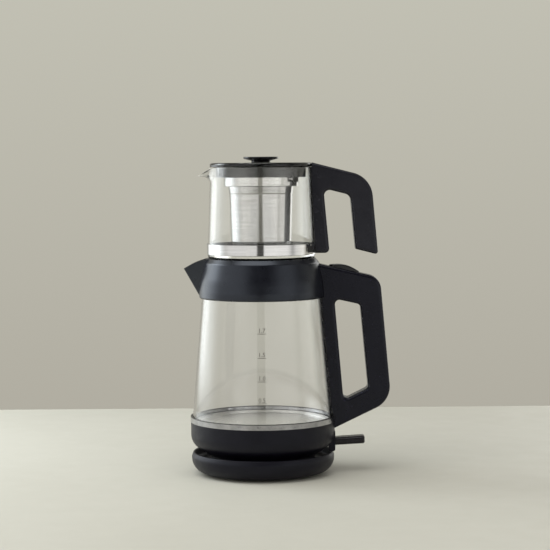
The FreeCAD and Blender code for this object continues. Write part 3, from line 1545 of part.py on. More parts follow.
def lid_knob():
    """Dished knob with its stud through the lid."""
    knob_top = "cover_top + knob_height"
    turned("lid_knob", [
        ("0", "nut_bottom + sink"),
        ("stud_radius", "nut_bottom + sink"),
        ("stud_radius", "cover_top"),
        ("knob_foot", "cover_top"),
        ("knob_neck", "cover_top + knob_neck_height", "knob_neck_bend"),
        ("knob_radius", f"{knob_top} - knob_edge", "knob_edge_round"),
        ("knob_radius", knob_top, "knob_edge_round"),
        ("knob_radius - knob_rim", knob_top, "small_round"),
        ("knob_radius / 2", f"{knob_top} - knob_dish", "knob_dish_bend"),
        ("0", f"{knob_top} - knob_dish"),
    ])


def knob_nut():
    """Round nut that draws the knob's stud up from below."""
    turned("knob_nut", [
        ("stud_radius + thread", "nut_bottom"),
        ("nut_radius - nut_draft", "nut_bottom", "small_round"),
        ("nut_radius", "cover_ceiling"),
        ("stud_radius + thread", "cover_ceiling"),
    ])


def infuser_collar():
    """Steel cup round the basket's mouth with two lugs for the lid's hooks."""
    inner = "basket_radius + basket_gap"
    body = turned("infuser_collar", [
        (inner, "infuser_shelf"),
        ("infuser_radius", "infuser_shelf", "small_round"),
        ("infuser_radius", "infuser_top"),
        ("infuser_radius - infuser_sheet", "infuser_top"),
        ("infuser_radius - infuser_sheet", "infuser_shelf + infuser_sheet"),
        (inner, "infuser_shelf + infuser_sheet"),
    ])
    lug_bottom = "bayonet_bottom + bayonet_shelf + basket_gap"
    lug = box_outline(body, "infuser_radius - infuser_sheet", "bayonet_reach - lug_inset", lug_bottom,
                      f"{lug_bottom} + lug_height")
    repeat(body, [extrude(body, lug, "bayonet_width - through")], "bayonet_count")
    place(body, angle="-bayonet_angle")


def infuser_basket():
    """Tapered steel basket with a flanged mouth and a ring of slots."""
    shelf = "infuser_shelf + infuser_sheet"
    body = turned("infuser_basket", [
        ("basket_radius - basket_sheet", f"{shelf} + basket_sheet"),
        ("basket_radius + basket_flange", f"{shelf} + basket_sheet"),
        ("basket_radius + basket_flange", shelf),
        ("basket_radius", shelf),
        ("basket_bottom_radius", "basket_bottom", "basket_bend"),
        ("0", "basket_bottom"),
        ("0", "basket_bottom + basket_sheet"),
        ("basket_bottom_radius - basket_sheet", "basket_bottom + basket_sheet", "basket_bend - basket_sheet"),
    ])
    half = "basket_slot_width / 2"
    opening = box_outline(body, f"-{half}", half, "basket_slot_bottom", "basket_slot_top", "YZ_Plane",
                          bend="basket_slot_round")
    slot = cut(body, opening, "basket_radius + basket_flange", symmetric=False, reverse=True)
    repeat(body, [slot], "basket_slots")


PIECES = [
    base_cover, base_plate, base_feet, base_screws, base_connector, base_contacts, cord_gland,
    kettle_pin, kettle_connector, connector_ring, kettle_underside, underside_screws, control_unit,
    lever_pin, switch_lever, kettle_housing, heating_element, heat_spreader, heater_plate, glass_seal,
    trim_ring, kettle_glass, kettle_collar, collar_seal, spout_filter, kettle_lid, hinge_pin,
    kettle_handle, handle_screws, lid_release_button, button_spring, lid_latch,
    teapot_glass, teapot_band, band_studs, band_screw, teapot_handle,
    teapot_cover, lid_knob, knob_nut, infuser_collar, infuser_basket,
]

document = FreeCAD.newDocument("tea_maker")
sheet = document.addObject("Spreadsheet::Sheet", "sizes")
for row, (name, size) in enumerate(SIZES.items(), start=1):
    sheet.set(f"A{row}", name)
    sheet.set(f"B{row}", str(size))
    sheet.setAlias(f"B{row}", name)
document.recompute()

nodes = []
for build in PIECES:
    build()
document.recompute()

faults = [item.Label for item in document.Objects if {"Invalid", "Error"} & set(item.State)]
faults += [node.Label for node in nodes if node.Shape.isNull() or not node.Shape.isValid()]
if faults:
    raise RuntimeError("These objects failed: " + ", ".join(faults))
os.makedirs("parts", exist_ok=True)
for node in nodes:
    node.Shape.exportStep(f"parts/{node.Label}.step")
    print(f"{node.Label}: {len(node.Shape.Solids)} solid(s), {node.Shape.Volume / 1000:.2f} cm3")
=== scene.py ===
import math

import bmesh
import bpy
from mathutils import Matrix, Vector


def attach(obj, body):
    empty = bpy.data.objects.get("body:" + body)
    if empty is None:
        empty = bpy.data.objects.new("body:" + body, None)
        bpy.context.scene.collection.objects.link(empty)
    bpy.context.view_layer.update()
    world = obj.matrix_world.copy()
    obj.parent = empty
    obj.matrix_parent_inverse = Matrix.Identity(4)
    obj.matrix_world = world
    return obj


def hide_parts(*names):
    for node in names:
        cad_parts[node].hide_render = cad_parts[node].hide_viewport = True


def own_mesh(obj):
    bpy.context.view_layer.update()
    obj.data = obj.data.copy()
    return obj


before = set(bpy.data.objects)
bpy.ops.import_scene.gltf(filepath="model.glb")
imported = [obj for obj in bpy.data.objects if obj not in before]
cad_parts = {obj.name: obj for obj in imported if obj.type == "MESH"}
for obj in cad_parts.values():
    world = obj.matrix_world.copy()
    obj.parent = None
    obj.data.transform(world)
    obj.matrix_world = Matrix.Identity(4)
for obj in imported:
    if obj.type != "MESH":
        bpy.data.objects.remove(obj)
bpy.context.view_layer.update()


# ---- Power base -----------------------------------------------------------------------------
# A shallow round tray moulded in black ABS with a spark-eroded satin skin. Its dish carries the
# round connector, its underside plate is screwed on, and four rubber feet keep it from sliding.

def new_finish(name, roughness, metallic=0.0):
    finish = bpy.data.materials.new(name)
    finish.use_nodes = True
    shader = finish.node_tree.nodes["Principled BSDF"]
    shader.inputs["Roughness"].default_value = roughness
    shader.inputs["Metallic"].default_value = metallic
    return finish, shader


def grain(finish, scale, stretch=(1, 1, 1), detail=3.0):
    tree = finish.node_tree
    place = tree.nodes.new("ShaderNodeTexCoord")
    run = tree.nodes.new("ShaderNodeMapping")
    run.inputs["Scale"].default_value = stretch
    noise = tree.nodes.new("ShaderNodeTexNoise")
    noise.inputs["Scale"].default_value = scale
    noise.inputs["Detail"].default_value = detail
    tree.links.new(place.outputs["Object"], run.inputs["Vector"])
    tree.links.new(run.outputs["Vector"], noise.inputs["Vector"])
    return noise.outputs["Fac"]


def tint(finish, shader, pattern, dark, light):
    ramp = finish.node_tree.nodes.new("ShaderNodeValToRGB")
    ramp.color_ramp.elements[0].position = 0.3
    ramp.color_ramp.elements[0].color = (*dark, 1)
    ramp.color_ramp.elements[1].position = 0.7
    ramp.color_ramp.elements[1].color = (*light, 1)
    finish.node_tree.links.new(pattern, ramp.inputs["Fac"])
    finish.node_tree.links.new(ramp.outputs["Color"], shader.inputs["Base Color"])


def uneven_gloss(finish, shader, pattern, smooth, rough):
    span = finish.node_tree.nodes.new("ShaderNodeMapRange")
    span.inputs["From Min"].default_value = 0.3
    span.inputs["From Max"].default_value = 0.7
    span.inputs["To Min"].default_value = smooth
    span.inputs["To Max"].default_value = rough
    finish.node_tree.links.new(pattern, span.inputs["Value"])
    finish.node_tree.links.new(span.outputs["Result"], shader.inputs["Roughness"])


def relief(finish, shader, pattern, height, strength):
    bump = finish.node_tree.nodes.new("ShaderNodeBump")
    bump.inputs["Strength"].default_value = strength
    bump.inputs["Distance"].default_value = height
    finish.node_tree.links.new(pattern, bump.inputs["Height"])
    finish.node_tree.links.new(bump.outputs["Normal"], shader.inputs["Normal"])


def cool_shine(shader, level, colour):
    shader.inputs["Specular IOR Level"].default_value = level
    shader.inputs["Specular Tint"].default_value = (*colour, 1)


def dress(finish, *names):
    for name in names:
        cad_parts[name].data.materials[0] = finish


satin_shine = (0.86, 0.9, 1)

housing_black, shader = new_finish("housing_black_plastic", roughness=0.42)
cool_shine(shader, level=0.27, colour=satin_shine)
tint(housing_black, shader, grain(housing_black, 60),
     dark=(0.0026, 0.0020, 0.0052), light=(0.0040, 0.0032, 0.0074))
uneven_gloss(housing_black, shader, grain(housing_black, 140), smooth=0.38, rough=0.48)
relief(housing_black, shader, grain(housing_black, 1800), height=0.00002, strength=0.5)
dress(housing_black, "base_cover")

plate_black, shader = new_finish("underside_black_plastic", roughness=0.55)
tint(plate_black, shader, grain(plate_black, 90),
     dark=(0.010, 0.010, 0.011), light=(0.016, 0.016, 0.017))
uneven_gloss(plate_black, shader, grain(plate_black, 200), smooth=0.48, rough=0.62)
relief(plate_black, shader, grain(plate_black, 1400), height=0.00003, strength=0.6)
dress(plate_black, "base_plate", "base_connector", "kettle_connector", "kettle_underside",
      "control_unit")

foot_rubber, shader = new_finish("foot_rubber", roughness=0.8)
tint(foot_rubber, shader, grain(foot_rubber, 300),
     dark=(0.014, 0.014, 0.014), light=(0.024, 0.023, 0.022))
uneven_gloss(foot_rubber, shader, grain(foot_rubber, 500), smooth=0.72, rough=0.9)
relief(foot_rubber, shader, grain(foot_rubber, 2500), height=0.00002, strength=0.5)
dress(foot_rubber, "base_feet", "cord_gland")


# ---- Screws and pins ------------------------------------------------------------------------
# Small zinc-plated steel screws and turned steel pins. They hold the two bottom plates, the
# handles and the band, and carry the switch lever, the kettle's lid and the kettle itself.

plated_steel, shader = new_finish("plated_steel", roughness=0.3, metallic=1.0)
tint(plated_steel, shader, grain(plated_steel, 400),
     dark=(0.46, 0.46, 0.45), light=(0.60, 0.60, 0.59))
uneven_gloss(plated_steel, shader, grain(plated_steel, 900), smooth=0.24, rough=0.4)
relief(plated_steel, shader, grain(plated_steel, 2500), height=0.00001, strength=0.4)
dress(plated_steel, "base_screws", "underside_screws", "lever_pin", "hinge_pin", "handle_screws",
      "button_spring", "band_screw", "kettle_pin")


# ---- Electrical contacts --------------------------------------------------------------------
# Brass sleeve and ring of the base, and the brass ring on the kettle's plug. The kettle can
# be set down on them at any angle.

contact_brass, shader = new_finish("contact_brass", roughness=0.3, metallic=1.0)
tint(contact_brass, shader, grain(contact_brass, 250),
     dark=(0.50, 0.34, 0.14), light=(0.62, 0.45, 0.21))
uneven_gloss(contact_brass, shader, grain(contact_brass, 600), smooth=0.22, rough=0.4)
relief(contact_brass, shader, grain(contact_brass, 2000), height=0.00001, strength=0.5)
dress(contact_brass, "base_contacts", "connector_ring")


# ---- Kettle housing and switch lever --------------------------------------------------------
# The kettle's foot, one satin black moulding that tapers in towards the base, with a shroud
# that guards the rocker lever. The lever is pressed down by a fingertip to switch on.

dress(housing_black, "kettle_housing")

lever_black, shader = new_finish("lever_black_plastic", roughness=0.3)
shader.inputs["Specular IOR Level"].default_value = 0.35
tint(lever_black, shader, grain(lever_black, 80),
     dark=(0.006, 0.005, 0.007), light=(0.009, 0.008, 0.010))
uneven_gloss(lever_black, shader, grain(lever_black, 180), smooth=0.24, rough=0.36)
relief(lever_black, shader, grain(lever_black, 1500), height=0.00002, strength=0.4)
dress(lever_black, "switch_lever")


# ---- Heating element and heater plate -------------------------------------------------------
# A sheathed element brazed through a cast aluminium spreader to a brushed stainless plate,
# which is the floor of the glass. The plate is brushed in circles.

sheath_steel, shader = new_finish("element_sheath", roughness=0.45, metallic=1.0)
tint(sheath_steel, shader, grain(sheath_steel, 120),
     dark=(0.30, 0.29, 0.28), light=(0.45, 0.43, 0.40))
uneven_gloss(sheath_steel, shader, grain(sheath_steel, 500), smooth=0.38, rough=0.55)
relief(sheath_steel, shader, grain(sheath_steel, 1500), height=0.00002, strength=0.5)
dress(sheath_steel, "heating_element")

cast_aluminium, shader = new_finish("cast_aluminium", roughness=0.5, metallic=1.0)
tint(cast_aluminium, shader, grain(cast_aluminium, 150),
     dark=(0.55, 0.55, 0.56), light=(0.70, 0.70, 0.71))
uneven_gloss(cast_aluminium, shader, grain(cast_aluminium, 400), smooth=0.42, rough=0.62)
relief(cast_aluminium, shader, grain(cast_aluminium, 900), height=0.00006, strength=0.6)
dress(cast_aluminium, "heat_spreader")


def ring_grain(finish, scale):
    tree = finish.node_tree
    place = tree.nodes.new("ShaderNodeTexCoord")
    flatten = tree.nodes.new("ShaderNodeMapping")
    flatten.inputs["Scale"].default_value = (1, 1, 0)
    reach = tree.nodes.new("ShaderNodeVectorMath")
    reach.operation = "LENGTH"
    noise = tree.nodes.new("ShaderNodeTexNoise")
    noise.noise_dimensions = "1D"
    noise.inputs["Scale"].default_value = scale
    tree.links.new(place.outputs["Object"], flatten.inputs["Vector"])
    tree.links.new(flatten.outputs["Vector"], reach.inputs[0])
    tree.links.new(reach.outputs["Value"], noise.inputs["W"])
    return noise.outputs["Fac"]


plate_steel, shader = new_finish("circle_brushed_steel", roughness=0.34, metallic=1.0)
tint(plate_steel, shader, ring_grain(plate_steel, 260),
     dark=(0.62, 0.61, 0.60), light=(0.76, 0.75, 0.74))
uneven_gloss(plate_steel, shader, ring_grain(plate_steel, 900), smooth=0.28, rough=0.4)
relief(plate_steel, shader, ring_grain(plate_steel, 1400), height=0.00001, strength=0.5)
dress(plate_steel, "heater_plate")


# ---- Seals ----------------------------------------------------------------------------------
# Food-grade silicone rings: a milky one pressed between the glass and the metal, and a black
# one between the glass and the collar.

milky_silicone, shader = new_finish("milky_silicone", roughness=0.5)
tint(milky_silicone, shader, grain(milky_silicone, 200),
     dark=(0.24, 0.24, 0.22), light=(0.32, 0.32, 0.30))
uneven_gloss(milky_silicone, shader, grain(milky_silicone, 500), smooth=0.42, rough=0.6)
relief(milky_silicone, shader, grain(milky_silicone, 1600), height=0.00002, strength=0.4)
dress(milky_silicone, "glass_seal")

black_silicone, shader = new_finish("black_silicone", roughness=0.6)
tint(black_silicone, shader, grain(black_silicone, 200),
     dark=(0.020, 0.020, 0.021), light=(0.032, 0.032, 0.033))
uneven_gloss(black_silicone, shader, grain(black_silicone, 500), smooth=0.5, rough=0.7)
relief(black_silicone, shader, grain(black_silicone, 1600), height=0.00002, strength=0.4)
dress(black_silicone, "collar_seal")


# ---- Trim ring ------------------------------------------------------------------------------
# A rolled ring of polished stainless sheet that covers the joint between the glass and the
# housing. The rolling leaves it slightly wavy. Its top edge, by the glass, gets painted shade.

# Painted shade: from this height up, the ring's colour darkens towards a dark grey.
ring_shade_start = 0.0648
ring_shade_end = 0.0656
ring_painted_shade = (0.05, 0.05, 0.05)


def paint_edge_shade(finish, shader, start, end, tone):
    tree = finish.node_tree
    place = tree.nodes.new("ShaderNodeTexCoord")
    split = tree.nodes.new("ShaderNodeSeparateXYZ")
    span = tree.nodes.new("ShaderNodeMapRange")
    span.inputs["From Min"].default_value = start
    span.inputs["From Max"].default_value = end
    blend = tree.nodes.new("ShaderNodeMix")
    blend.data_type = "RGBA"
    blend.inputs["B"].default_value = (*tone, 1)
    plain = shader.inputs["Base Color"].links[0].from_socket
    tree.links.new(place.outputs["Object"], split.inputs[0])
    tree.links.new(split.outputs["Z"], span.inputs["Value"])
    tree.links.new(span.outputs["Result"], blend.inputs["Factor"])
    tree.links.new(plain, blend.inputs["A"])
    tree.links.new(blend.outputs["Result"], shader.inputs["Base Color"])


ring_steel, shader = new_finish("polished_ring_steel", roughness=0.16, metallic=1.0)
tint(ring_steel, shader, grain(ring_steel, 90),
     dark=(0.33, 0.33, 0.345), light=(0.50, 0.50, 0.52))
uneven_gloss(ring_steel, shader, grain(ring_steel, 160), smooth=0.1, rough=0.26)
relief(ring_steel, shader, grain(ring_steel, 300, stretch=(1, 1, 0.5)), height=0.001, strength=0.6)
# Painted shade, not a real finish: the top edge's colour stands in for the glass's shadow.
paint_edge_shade(ring_steel, shader, start=ring_shade_start, end=ring_shade_end, tone=ring_painted_shade)
dress(ring_steel, "trim_ring")


# ---- Kettle glass ---------------------------------------------------------------------------
# A blown borosilicate jug with a thick, clear wall that narrows to the collar. The open bottom
# is ground flat and sits in the seal.

clear_glass, shader = new_finish("clear_borosilicate_glass", roughness=0.0)
shader.inputs["Transmission Weight"].default_value = 1.0
shader.inputs["IOR"].default_value = 1.47
tint(clear_glass, shader, grain(clear_glass, 25),
     dark=(0.975, 0.98, 0.98), light=(0.99, 0.995, 0.995))
uneven_gloss(clear_glass, shader, grain(clear_glass, 45), smooth=0.0, rough=0.03)
relief(clear_glass, shader, grain(clear_glass, 18, stretch=(1, 1, 0.4), detail=1.0),
       height=0.0003, strength=0.25)
dress(clear_glass, "kettle_glass")


# ---- Litre scale ----------------------------------------------------------------------------
# Small numbers and lines screen-printed in grey enamel on the front of the kettle's glass. They
# follow its curve and its taper.

scale_levels = {"0.5": 0.0885, "1.0": 0.1124, "1.5": 0.1382, "1.7": 0.1646}
number_size = 0.0066
number_boldness = 0.00012
number_rise = 0.0014
line_length = 0.010
line_width = 0.0007
print_depth = 0.0001
glass_foot_height = 0.073
glass_foot_radius = 0.0786
glass_narrowing = 0.0846
upright = Matrix.Rotation(math.radians(90), 3, "X")

scale_mesh = bpy.data.meshes.new("litre_scale")
bm = bmesh.new()
for number, level in scale_levels.items():
    words = bpy.data.curves.new("number", "FONT")
    words.body = number
    words.size = number_size
    words.align_x = "CENTER"
    words.extrude = print_depth / 2
    words.offset = number_boldness
    words.resolution_u = 3
    flat = bpy.data.objects.new("number", words)
    older = len(bm.verts)
    bm.from_mesh(flat.to_mesh())
    bm.verts.ensure_lookup_table()
    print_verts = bm.verts[older:]
    bmesh.ops.rotate(bm, verts=print_verts, cent=(0, 0, 0), matrix=upright)
    bmesh.ops.translate(bm, verts=print_verts, vec=(0, 0, level + number_rise))
    bpy.data.objects.remove(flat)
    line = bmesh.ops.create_cube(bm, size=1)["verts"]
    bmesh.ops.scale(bm, verts=line, vec=(line_length, print_depth, line_width))
    bmesh.ops.translate(bm, verts=line, vec=(0, 0, level))
for vert in bm.verts:
    glass_radius = glass_foot_radius - (vert.co.z - glass_foot_height) * glass_narrowing
    print_radius = glass_radius + print_depth / 2
    angle = vert.co.x / print_radius
    reach = print_radius - vert.co.y
    vert.co = (reach * math.sin(angle), -reach * math.cos(angle), vert.co.z)
bm.to_mesh(scale_mesh)
bm.free()
litre_scale = bpy.data.objects.new("litre_scale", scale_mesh)
bpy.context.scene.collection.objects.link(litre_scale)
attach(litre_scale, "kettle")

grey_enamel, shader = new_finish("grey_enamel", roughness=0.5)
tint(grey_enamel, shader, grain(grey_enamel, 900),
     dark=(0.16, 0.155, 0.14), light=(0.24, 0.235, 0.21))
uneven_gloss(grey_enamel, shader, grain(grey_enamel, 600), smooth=0.4, rough=0.6)
relief(grey_enamel, shader, grain(grey_enamel, 3000), height=0.00001, strength=0.3)
litre_scale.data.materials.append(grey_enamel)


# ---- Collar, spout and lid of the kettle ----------------------------------------------------
# The black moulding that grips the top of the glass, carries the teapot and ends in the
# pouring spout. The hinged lid, its latch and the steel filter sit inside it.

collar_shine = (0.78, 0.86, 1)

collar_black, shader = new_finish("collar_black_plastic", roughness=0.3)
cool_shine(shader, level=0.6, colour=collar_shine)
tint(collar_black, shader, grain(collar_black, 60),
     dark=(0.0034, 0.0034, 0.0062), light=(0.0050, 0.0050, 0.0084))
uneven_gloss(collar_black, shader, grain(collar_black, 140), smooth=0.27, rough=0.33)
relief(collar_black, shader, grain(collar_black, 1800), height=0.00002, strength=0.5)
dress(collar_black, "kettle_collar", "kettle_lid", "lid_latch")

filter_steel, shader = new_finish("filter_steel", roughness=0.3, metallic=1.0)
tint(filter_steel, shader, grain(filter_steel, 200),
     dark=(0.50, 0.50, 0.49), light=(0.62, 0.62, 0.61))
uneven_gloss(filter_steel, shader, grain(filter_steel, 700), smooth=0.24, rough=0.38)
relief(filter_steel, shader, grain(filter_steel, 1500, stretch=(1, 1, 6)),
       height=0.00001, strength=0.4)
dress(filter_steel, "spout_filter")


# ---- Kettle handle and release button -------------------------------------------------------
# A closed loop moulded in satin black plastic and fixed to the collar by two screws. A glossy
# oval button in its top draws back the catch of the kettle's lid.

satin_black, shader = new_finish("satin_black_plastic", roughness=0.26)
cool_shine(shader, level=0.3, colour=satin_shine)
tint(satin_black, shader, grain(satin_black, 60),
     dark=(0.0034, 0.0029, 0.0068), light=(0.0050, 0.0044, 0.0092))
uneven_gloss(satin_black, shader, grain(satin_black, 140), smooth=0.23, rough=0.29)
relief(satin_black, shader, grain(satin_black, 1800), height=0.00001, strength=0.3)
dress(satin_black, "kettle_handle")

gloss_black, shader = new_finish("gloss_black_plastic", roughness=0.12)
tint(gloss_black, shader, grain(gloss_black, 70),
     dark=(0.002, 0.002, 0.003), light=(0.003, 0.003, 0.004))
uneven_gloss(gloss_black, shader, grain(gloss_black, 150), smooth=0.09, rough=0.2)
relief(gloss_black, shader, grain(gloss_black, 300), height=0.00002, strength=0.25)
dress(gloss_black, "lid_release_button", "lid_knob", "knob_nut")


# ---- Button's leaf spring -------------------------------------------------------------------
# A bowed strip of spring steel that lies loose in the handle's pocket and holds the button up.
# The button presses it flatter against the pocket's floor.

def finished_piece(bm, name, finish, body):
    mesh = bpy.data.meshes.new(name)
    for face in bm.faces:
        face.smooth = True
    bm.to_mesh(mesh)
    bm.free()
    mesh.materials.append(finish)
    piece = bpy.data.objects.new(name, mesh)
    bpy.context.scene.collection.objects.link(piece)
    flat_walls = piece.modifiers.new("flat_walls", "WEIGHTED_NORMAL")
    flat_walls.weight = 100
    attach(piece, body)
    return piece


merge_distance = 0.000001

bm = bmesh.new()
bm.from_mesh(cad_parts["button_spring"].data)
bmesh.ops.remove_doubles(bm, verts=bm.verts, dist=merge_distance)
leaf_spring = finished_piece(bm, "leaf_spring", plated_steel, "kettle")
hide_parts("button_spring")
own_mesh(leaf_spring)


# ---- Teapot glass ---------------------------------------------------------------------------
# A thin blown pot with a heavy foot, fire-polished at the rim. While it is hot the rim is
# pulled out and down into a narrow pouring lip.

pot_top = 0.347
lip_root = 0.331
lip_length = 0.0156
lip_drop = 0.0105
lip_half_angle = math.radians(17)
lip_reach = 2
lip_narrowness = 2.2
lip_flare = 1.3
lip_curl = 2
pot_steps = 160
wall_cuts = 40
wall_least = 0.05
pot_outline = [
    (0.0, 0.2464, 0), (0.0497, 0.2464, 0.002), (0.0527, 0.2434, 0.002), (0.0612, 0.2434, 0.0055),
    (0.0570, pot_top, 0.0009), (0.0548, pot_top, 0.0009), (0.0590, 0.2490, 0.004), (0.0, 0.2490, 0),
]


def round_outline(bm, corners):
    verts = [bm.verts.new((across, 0, up)) for across, up, _ in corners]
    for start, end in zip(verts, verts[1:]):
        bm.edges.new((start, end))
    for vert, (_, _, bend) in zip(verts, corners):
        if bend:
            bmesh.ops.bevel(bm, geom=[vert], offset=bend, offset_type="OFFSET", affect="VERTICES",
                            segments=5, profile=0.5, material=-1)
    return bm.edges[:]


def spin_round(bm, edges, steps):
    verts = list({vert for edge in edges for vert in edge.verts})
    bmesh.ops.spin(bm, geom=verts + edges, cent=(0, 0, 0), axis=(0, 0, 1), angle=math.tau,
                   steps=steps, use_merge=True)
    bmesh.ops.remove_doubles(bm, verts=bm.verts, dist=merge_distance)
    bmesh.ops.recalc_face_normals(bm, faces=bm.faces)


bm = bmesh.new()
outline = round_outline(bm, pot_outline)
walls = [edge for edge in outline
         if abs(edge.verts[0].co.z - edge.verts[1].co.z) > wall_least]
bmesh.ops.subdivide_edges(bm, edges=walls, cuts=wall_cuts)
spin_round(bm, bm.edges[:], pot_steps)
for vert in bm.verts:
    if vert.co.z > lip_root and vert.co.x < 0:
        angle = math.atan2(vert.co.y, -vert.co.x) / lip_half_angle
        pull = math.exp(-lip_narrowness * angle * angle) if abs(angle) < lip_reach else 0
        rise = (vert.co.z - lip_root) / (pot_top - lip_root)
        out = lip_length * pull * rise ** lip_flare
        vert.co.z -= lip_drop * pull * rise ** lip_curl
        vert.co += Vector((vert.co.x, vert.co.y, 0)).normalized() * out
pot_glass = finished_piece(bm, "pot_glass", clear_glass, "teapot")
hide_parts("teapot_glass")


# ---- Teapot band and handle -----------------------------------------------------------------
# A thin stainless strap drawn round the foot of the glass teapot by one screw, which clamps
# the black hook handle to it. Dark studs show in the strap's four slots.

band_steel, shader = new_finish("polished_band_steel", roughness=0.16, metallic=1.0)
shader.inputs["Anisotropic"].default_value = 0.3
tint(band_steel, shader, grain(band_steel, 30, stretch=(1, 1, 30)),
     dark=(0.66, 0.65, 0.64), light=(0.76, 0.75, 0.74))
uneven_gloss(band_steel, shader, grain(band_steel, 90, stretch=(1, 1, 20)), smooth=0.07, rough=0.13)
relief(band_steel, shader, grain(band_steel, 40, stretch=(1, 1, 40)), height=0.00001, strength=0.4)
dress(band_steel, "teapot_band")

pot_handle_black, shader = new_finish("teapot_handle_black_plastic", roughness=0.26)
cool_shine(shader, level=0.3, colour=satin_shine)
tint(pot_handle_black, shader, grain(pot_handle_black, 60),
     dark=(0.011, 0.0104, 0.0140), light=(0.015, 0.0144, 0.0184))
uneven_gloss(pot_handle_black, shader, grain(pot_handle_black, 140), smooth=0.23, rough=0.29)
relief(pot_handle_black, shader, grain(pot_handle_black, 1800), height=0.00001, strength=0.3)
dress(pot_handle_black, "teapot_handle")
dress(plate_black, "band_studs")


# ---- Infuser --------------------------------------------------------------------------------
# A deep-drawn stainless basket for the leaves, brushed round its girth and held in a polished
# collar. A twist turns the collar's lugs into the hooks of the teapot's lid.

sieve_steel, shader = new_finish("sieve_steel", roughness=0.18, metallic=1.0)
shader.inputs["Anisotropic"].default_value = 0.4
tint(sieve_steel, shader, grain(sieve_steel, 30, stretch=(1, 1, 30)),
     dark=(0.43, 0.425, 0.42), light=(0.52, 0.515, 0.51))
uneven_gloss(sieve_steel, shader, grain(sieve_steel, 90, stretch=(1, 1, 20)),
             smooth=0.08, rough=0.15)
relief(sieve_steel, shader, grain(sieve_steel, 40, stretch=(1, 1, 40)),
       height=0.00001, strength=0.4)

basket_wall = 0.0007
basket_steps = 128
basket_outline = [
    (0.0400, 0.3270, 0), (0.0362, 0.3270, 0.0004), (0.0355, 0.3180, 0.0004),
    (0.0351, 0.3172, 0.0004), (0.0334, 0.2613, 0.0026), (0.0, 0.2613, 0),
]
bm = bmesh.new()
round_outline(bm, basket_outline)
spin_round(bm, bm.edges[:], basket_steps)
bmesh.ops.solidify(bm, geom=bm.faces[:], thickness=basket_wall)
bmesh.ops.recalc_face_normals(bm, faces=bm.faces)
basket = finished_piece(bm, "basket", sieve_steel, "infuser")
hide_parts("infuser_basket")

polished_steel, shader = new_finish("polished_collar_steel", roughness=0.14, metallic=1.0)
shader.inputs["Anisotropic"].default_value = 0.3
tint(polished_steel, shader, grain(polished_steel, 30, stretch=(1, 1, 30)),
     dark=(0.49, 0.485, 0.48), light=(0.59, 0.585, 0.58))
uneven_gloss(polished_steel, shader, grain(polished_steel, 90, stretch=(1, 1, 20)),
             smooth=0.07, rough=0.14)
relief(polished_steel, shader, grain(polished_steel, 40, stretch=(1, 1, 40)),
       height=0.00001, strength=0.4)
dress(polished_steel, "infuser_collar")


# ---- Teapot lid -----------------------------------------------------------------------------
# A disc and skirt moulded in one piece in smoked see-through resin, with the infuser's hooks
# under it. A nut holds the glossy black knob.

resin_smoke = (0.12, 0.12, 0.14)
resin_density = 610

smoked_resin, shader = new_finish("smoked_resin", roughness=0.05)
shader.inputs["Transmission Weight"].default_value = 1.0
shader.inputs["IOR"].default_value = 1.53
tint(smoked_resin, shader, grain(smoked_resin, 30),
     dark=(0.86, 0.86, 0.88), light=(0.92, 0.92, 0.93))
uneven_gloss(smoked_resin, shader, grain(smoked_resin, 90), smooth=0.03, rough=0.09)
relief(smoked_resin, shader, grain(smoked_resin, 300), height=0.00001, strength=0.3)
soak = smoked_resin.node_tree.nodes.new("ShaderNodeVolumeAbsorption")
soak.inputs["Color"].default_value = (*resin_smoke, 1)
soak.inputs["Density"].default_value = resin_density
smoked_resin.node_tree.links.new(soak.outputs["Volume"],
                                 smoked_resin.node_tree.nodes["Material Output"].inputs["Volume"])
dress(smoked_resin, "teapot_cover")


# ---- Table, wall and light ------------------------------------------------------------------
# A pale matt table top against a plain pale wall. Bright soft boxes stand on the left, weaker
# ones across the front, on the right and behind, and one hangs overhead. Polished metal mirrors
# a room that is dark in front and pale behind.

table_size = 2.2
wall_distance = 0.545

table_mesh = bpy.data.meshes.new("table")
bm = bmesh.new()
bmesh.ops.create_grid(bm, x_segments=1, y_segments=1, size=table_size)
bmesh.ops.translate(bm, verts=bm.verts, vec=(0, wall_distance - table_size, 0))
bm.to_mesh(table_mesh)
bm.free()
table = bpy.data.objects.new("table", table_mesh)
bpy.context.scene.collection.objects.link(table)

table_top, shader = new_finish("table_top", roughness=0.6)
tint(table_top, shader, grain(table_top, 3),
     dark=(0.54, 0.53, 0.46), light=(0.57, 0.56, 0.49))
uneven_gloss(table_top, shader, grain(table_top, 30), smooth=0.55, rough=0.7)
relief(table_top, shader, grain(table_top, 600), height=0.00005, strength=0.3)
table.data.materials.append(table_top)

world = bpy.data.worlds.new("studio")
bpy.context.scene.world = world
world.use_nodes = True
tree = world.node_tree
tree.nodes.clear()
direction = tree.nodes.new("ShaderNodeTexCoord")
split = tree.nodes.new("ShaderNodeSeparateXYZ")
tree.links.new(direction.outputs["Generated"], split.inputs[0])


def tone_by_direction(along, low, high, low_tone, high_tone):
    span = tree.nodes.new("ShaderNodeMapRange")
    span.inputs["From Min"].default_value = low
    span.inputs["From Max"].default_value = high
    ramp = tree.nodes.new("ShaderNodeValToRGB")
    ramp.color_ramp.elements[0].color = (*low_tone, 1)
    ramp.color_ramp.elements[1].color = (*high_tone, 1)
    tone = tree.nodes.new("ShaderNodeBackground")
    tree.links.new(split.outputs[along], span.inputs["Value"])
    tree.links.new(span.outputs["Result"], ramp.inputs["Fac"])
    tree.links.new(ramp.outputs["Color"], tone.inputs["Color"])
    return tone.outputs[0]


def choose(when, otherwise, chosen):
    mix = tree.nodes.new("ShaderNodeMixShader")
    tree.links.new(when, mix.inputs["Fac"])
    tree.links.new(otherwise, mix.inputs[1])
    tree.links.new(chosen, mix.inputs[2])
    return mix.outputs[0]


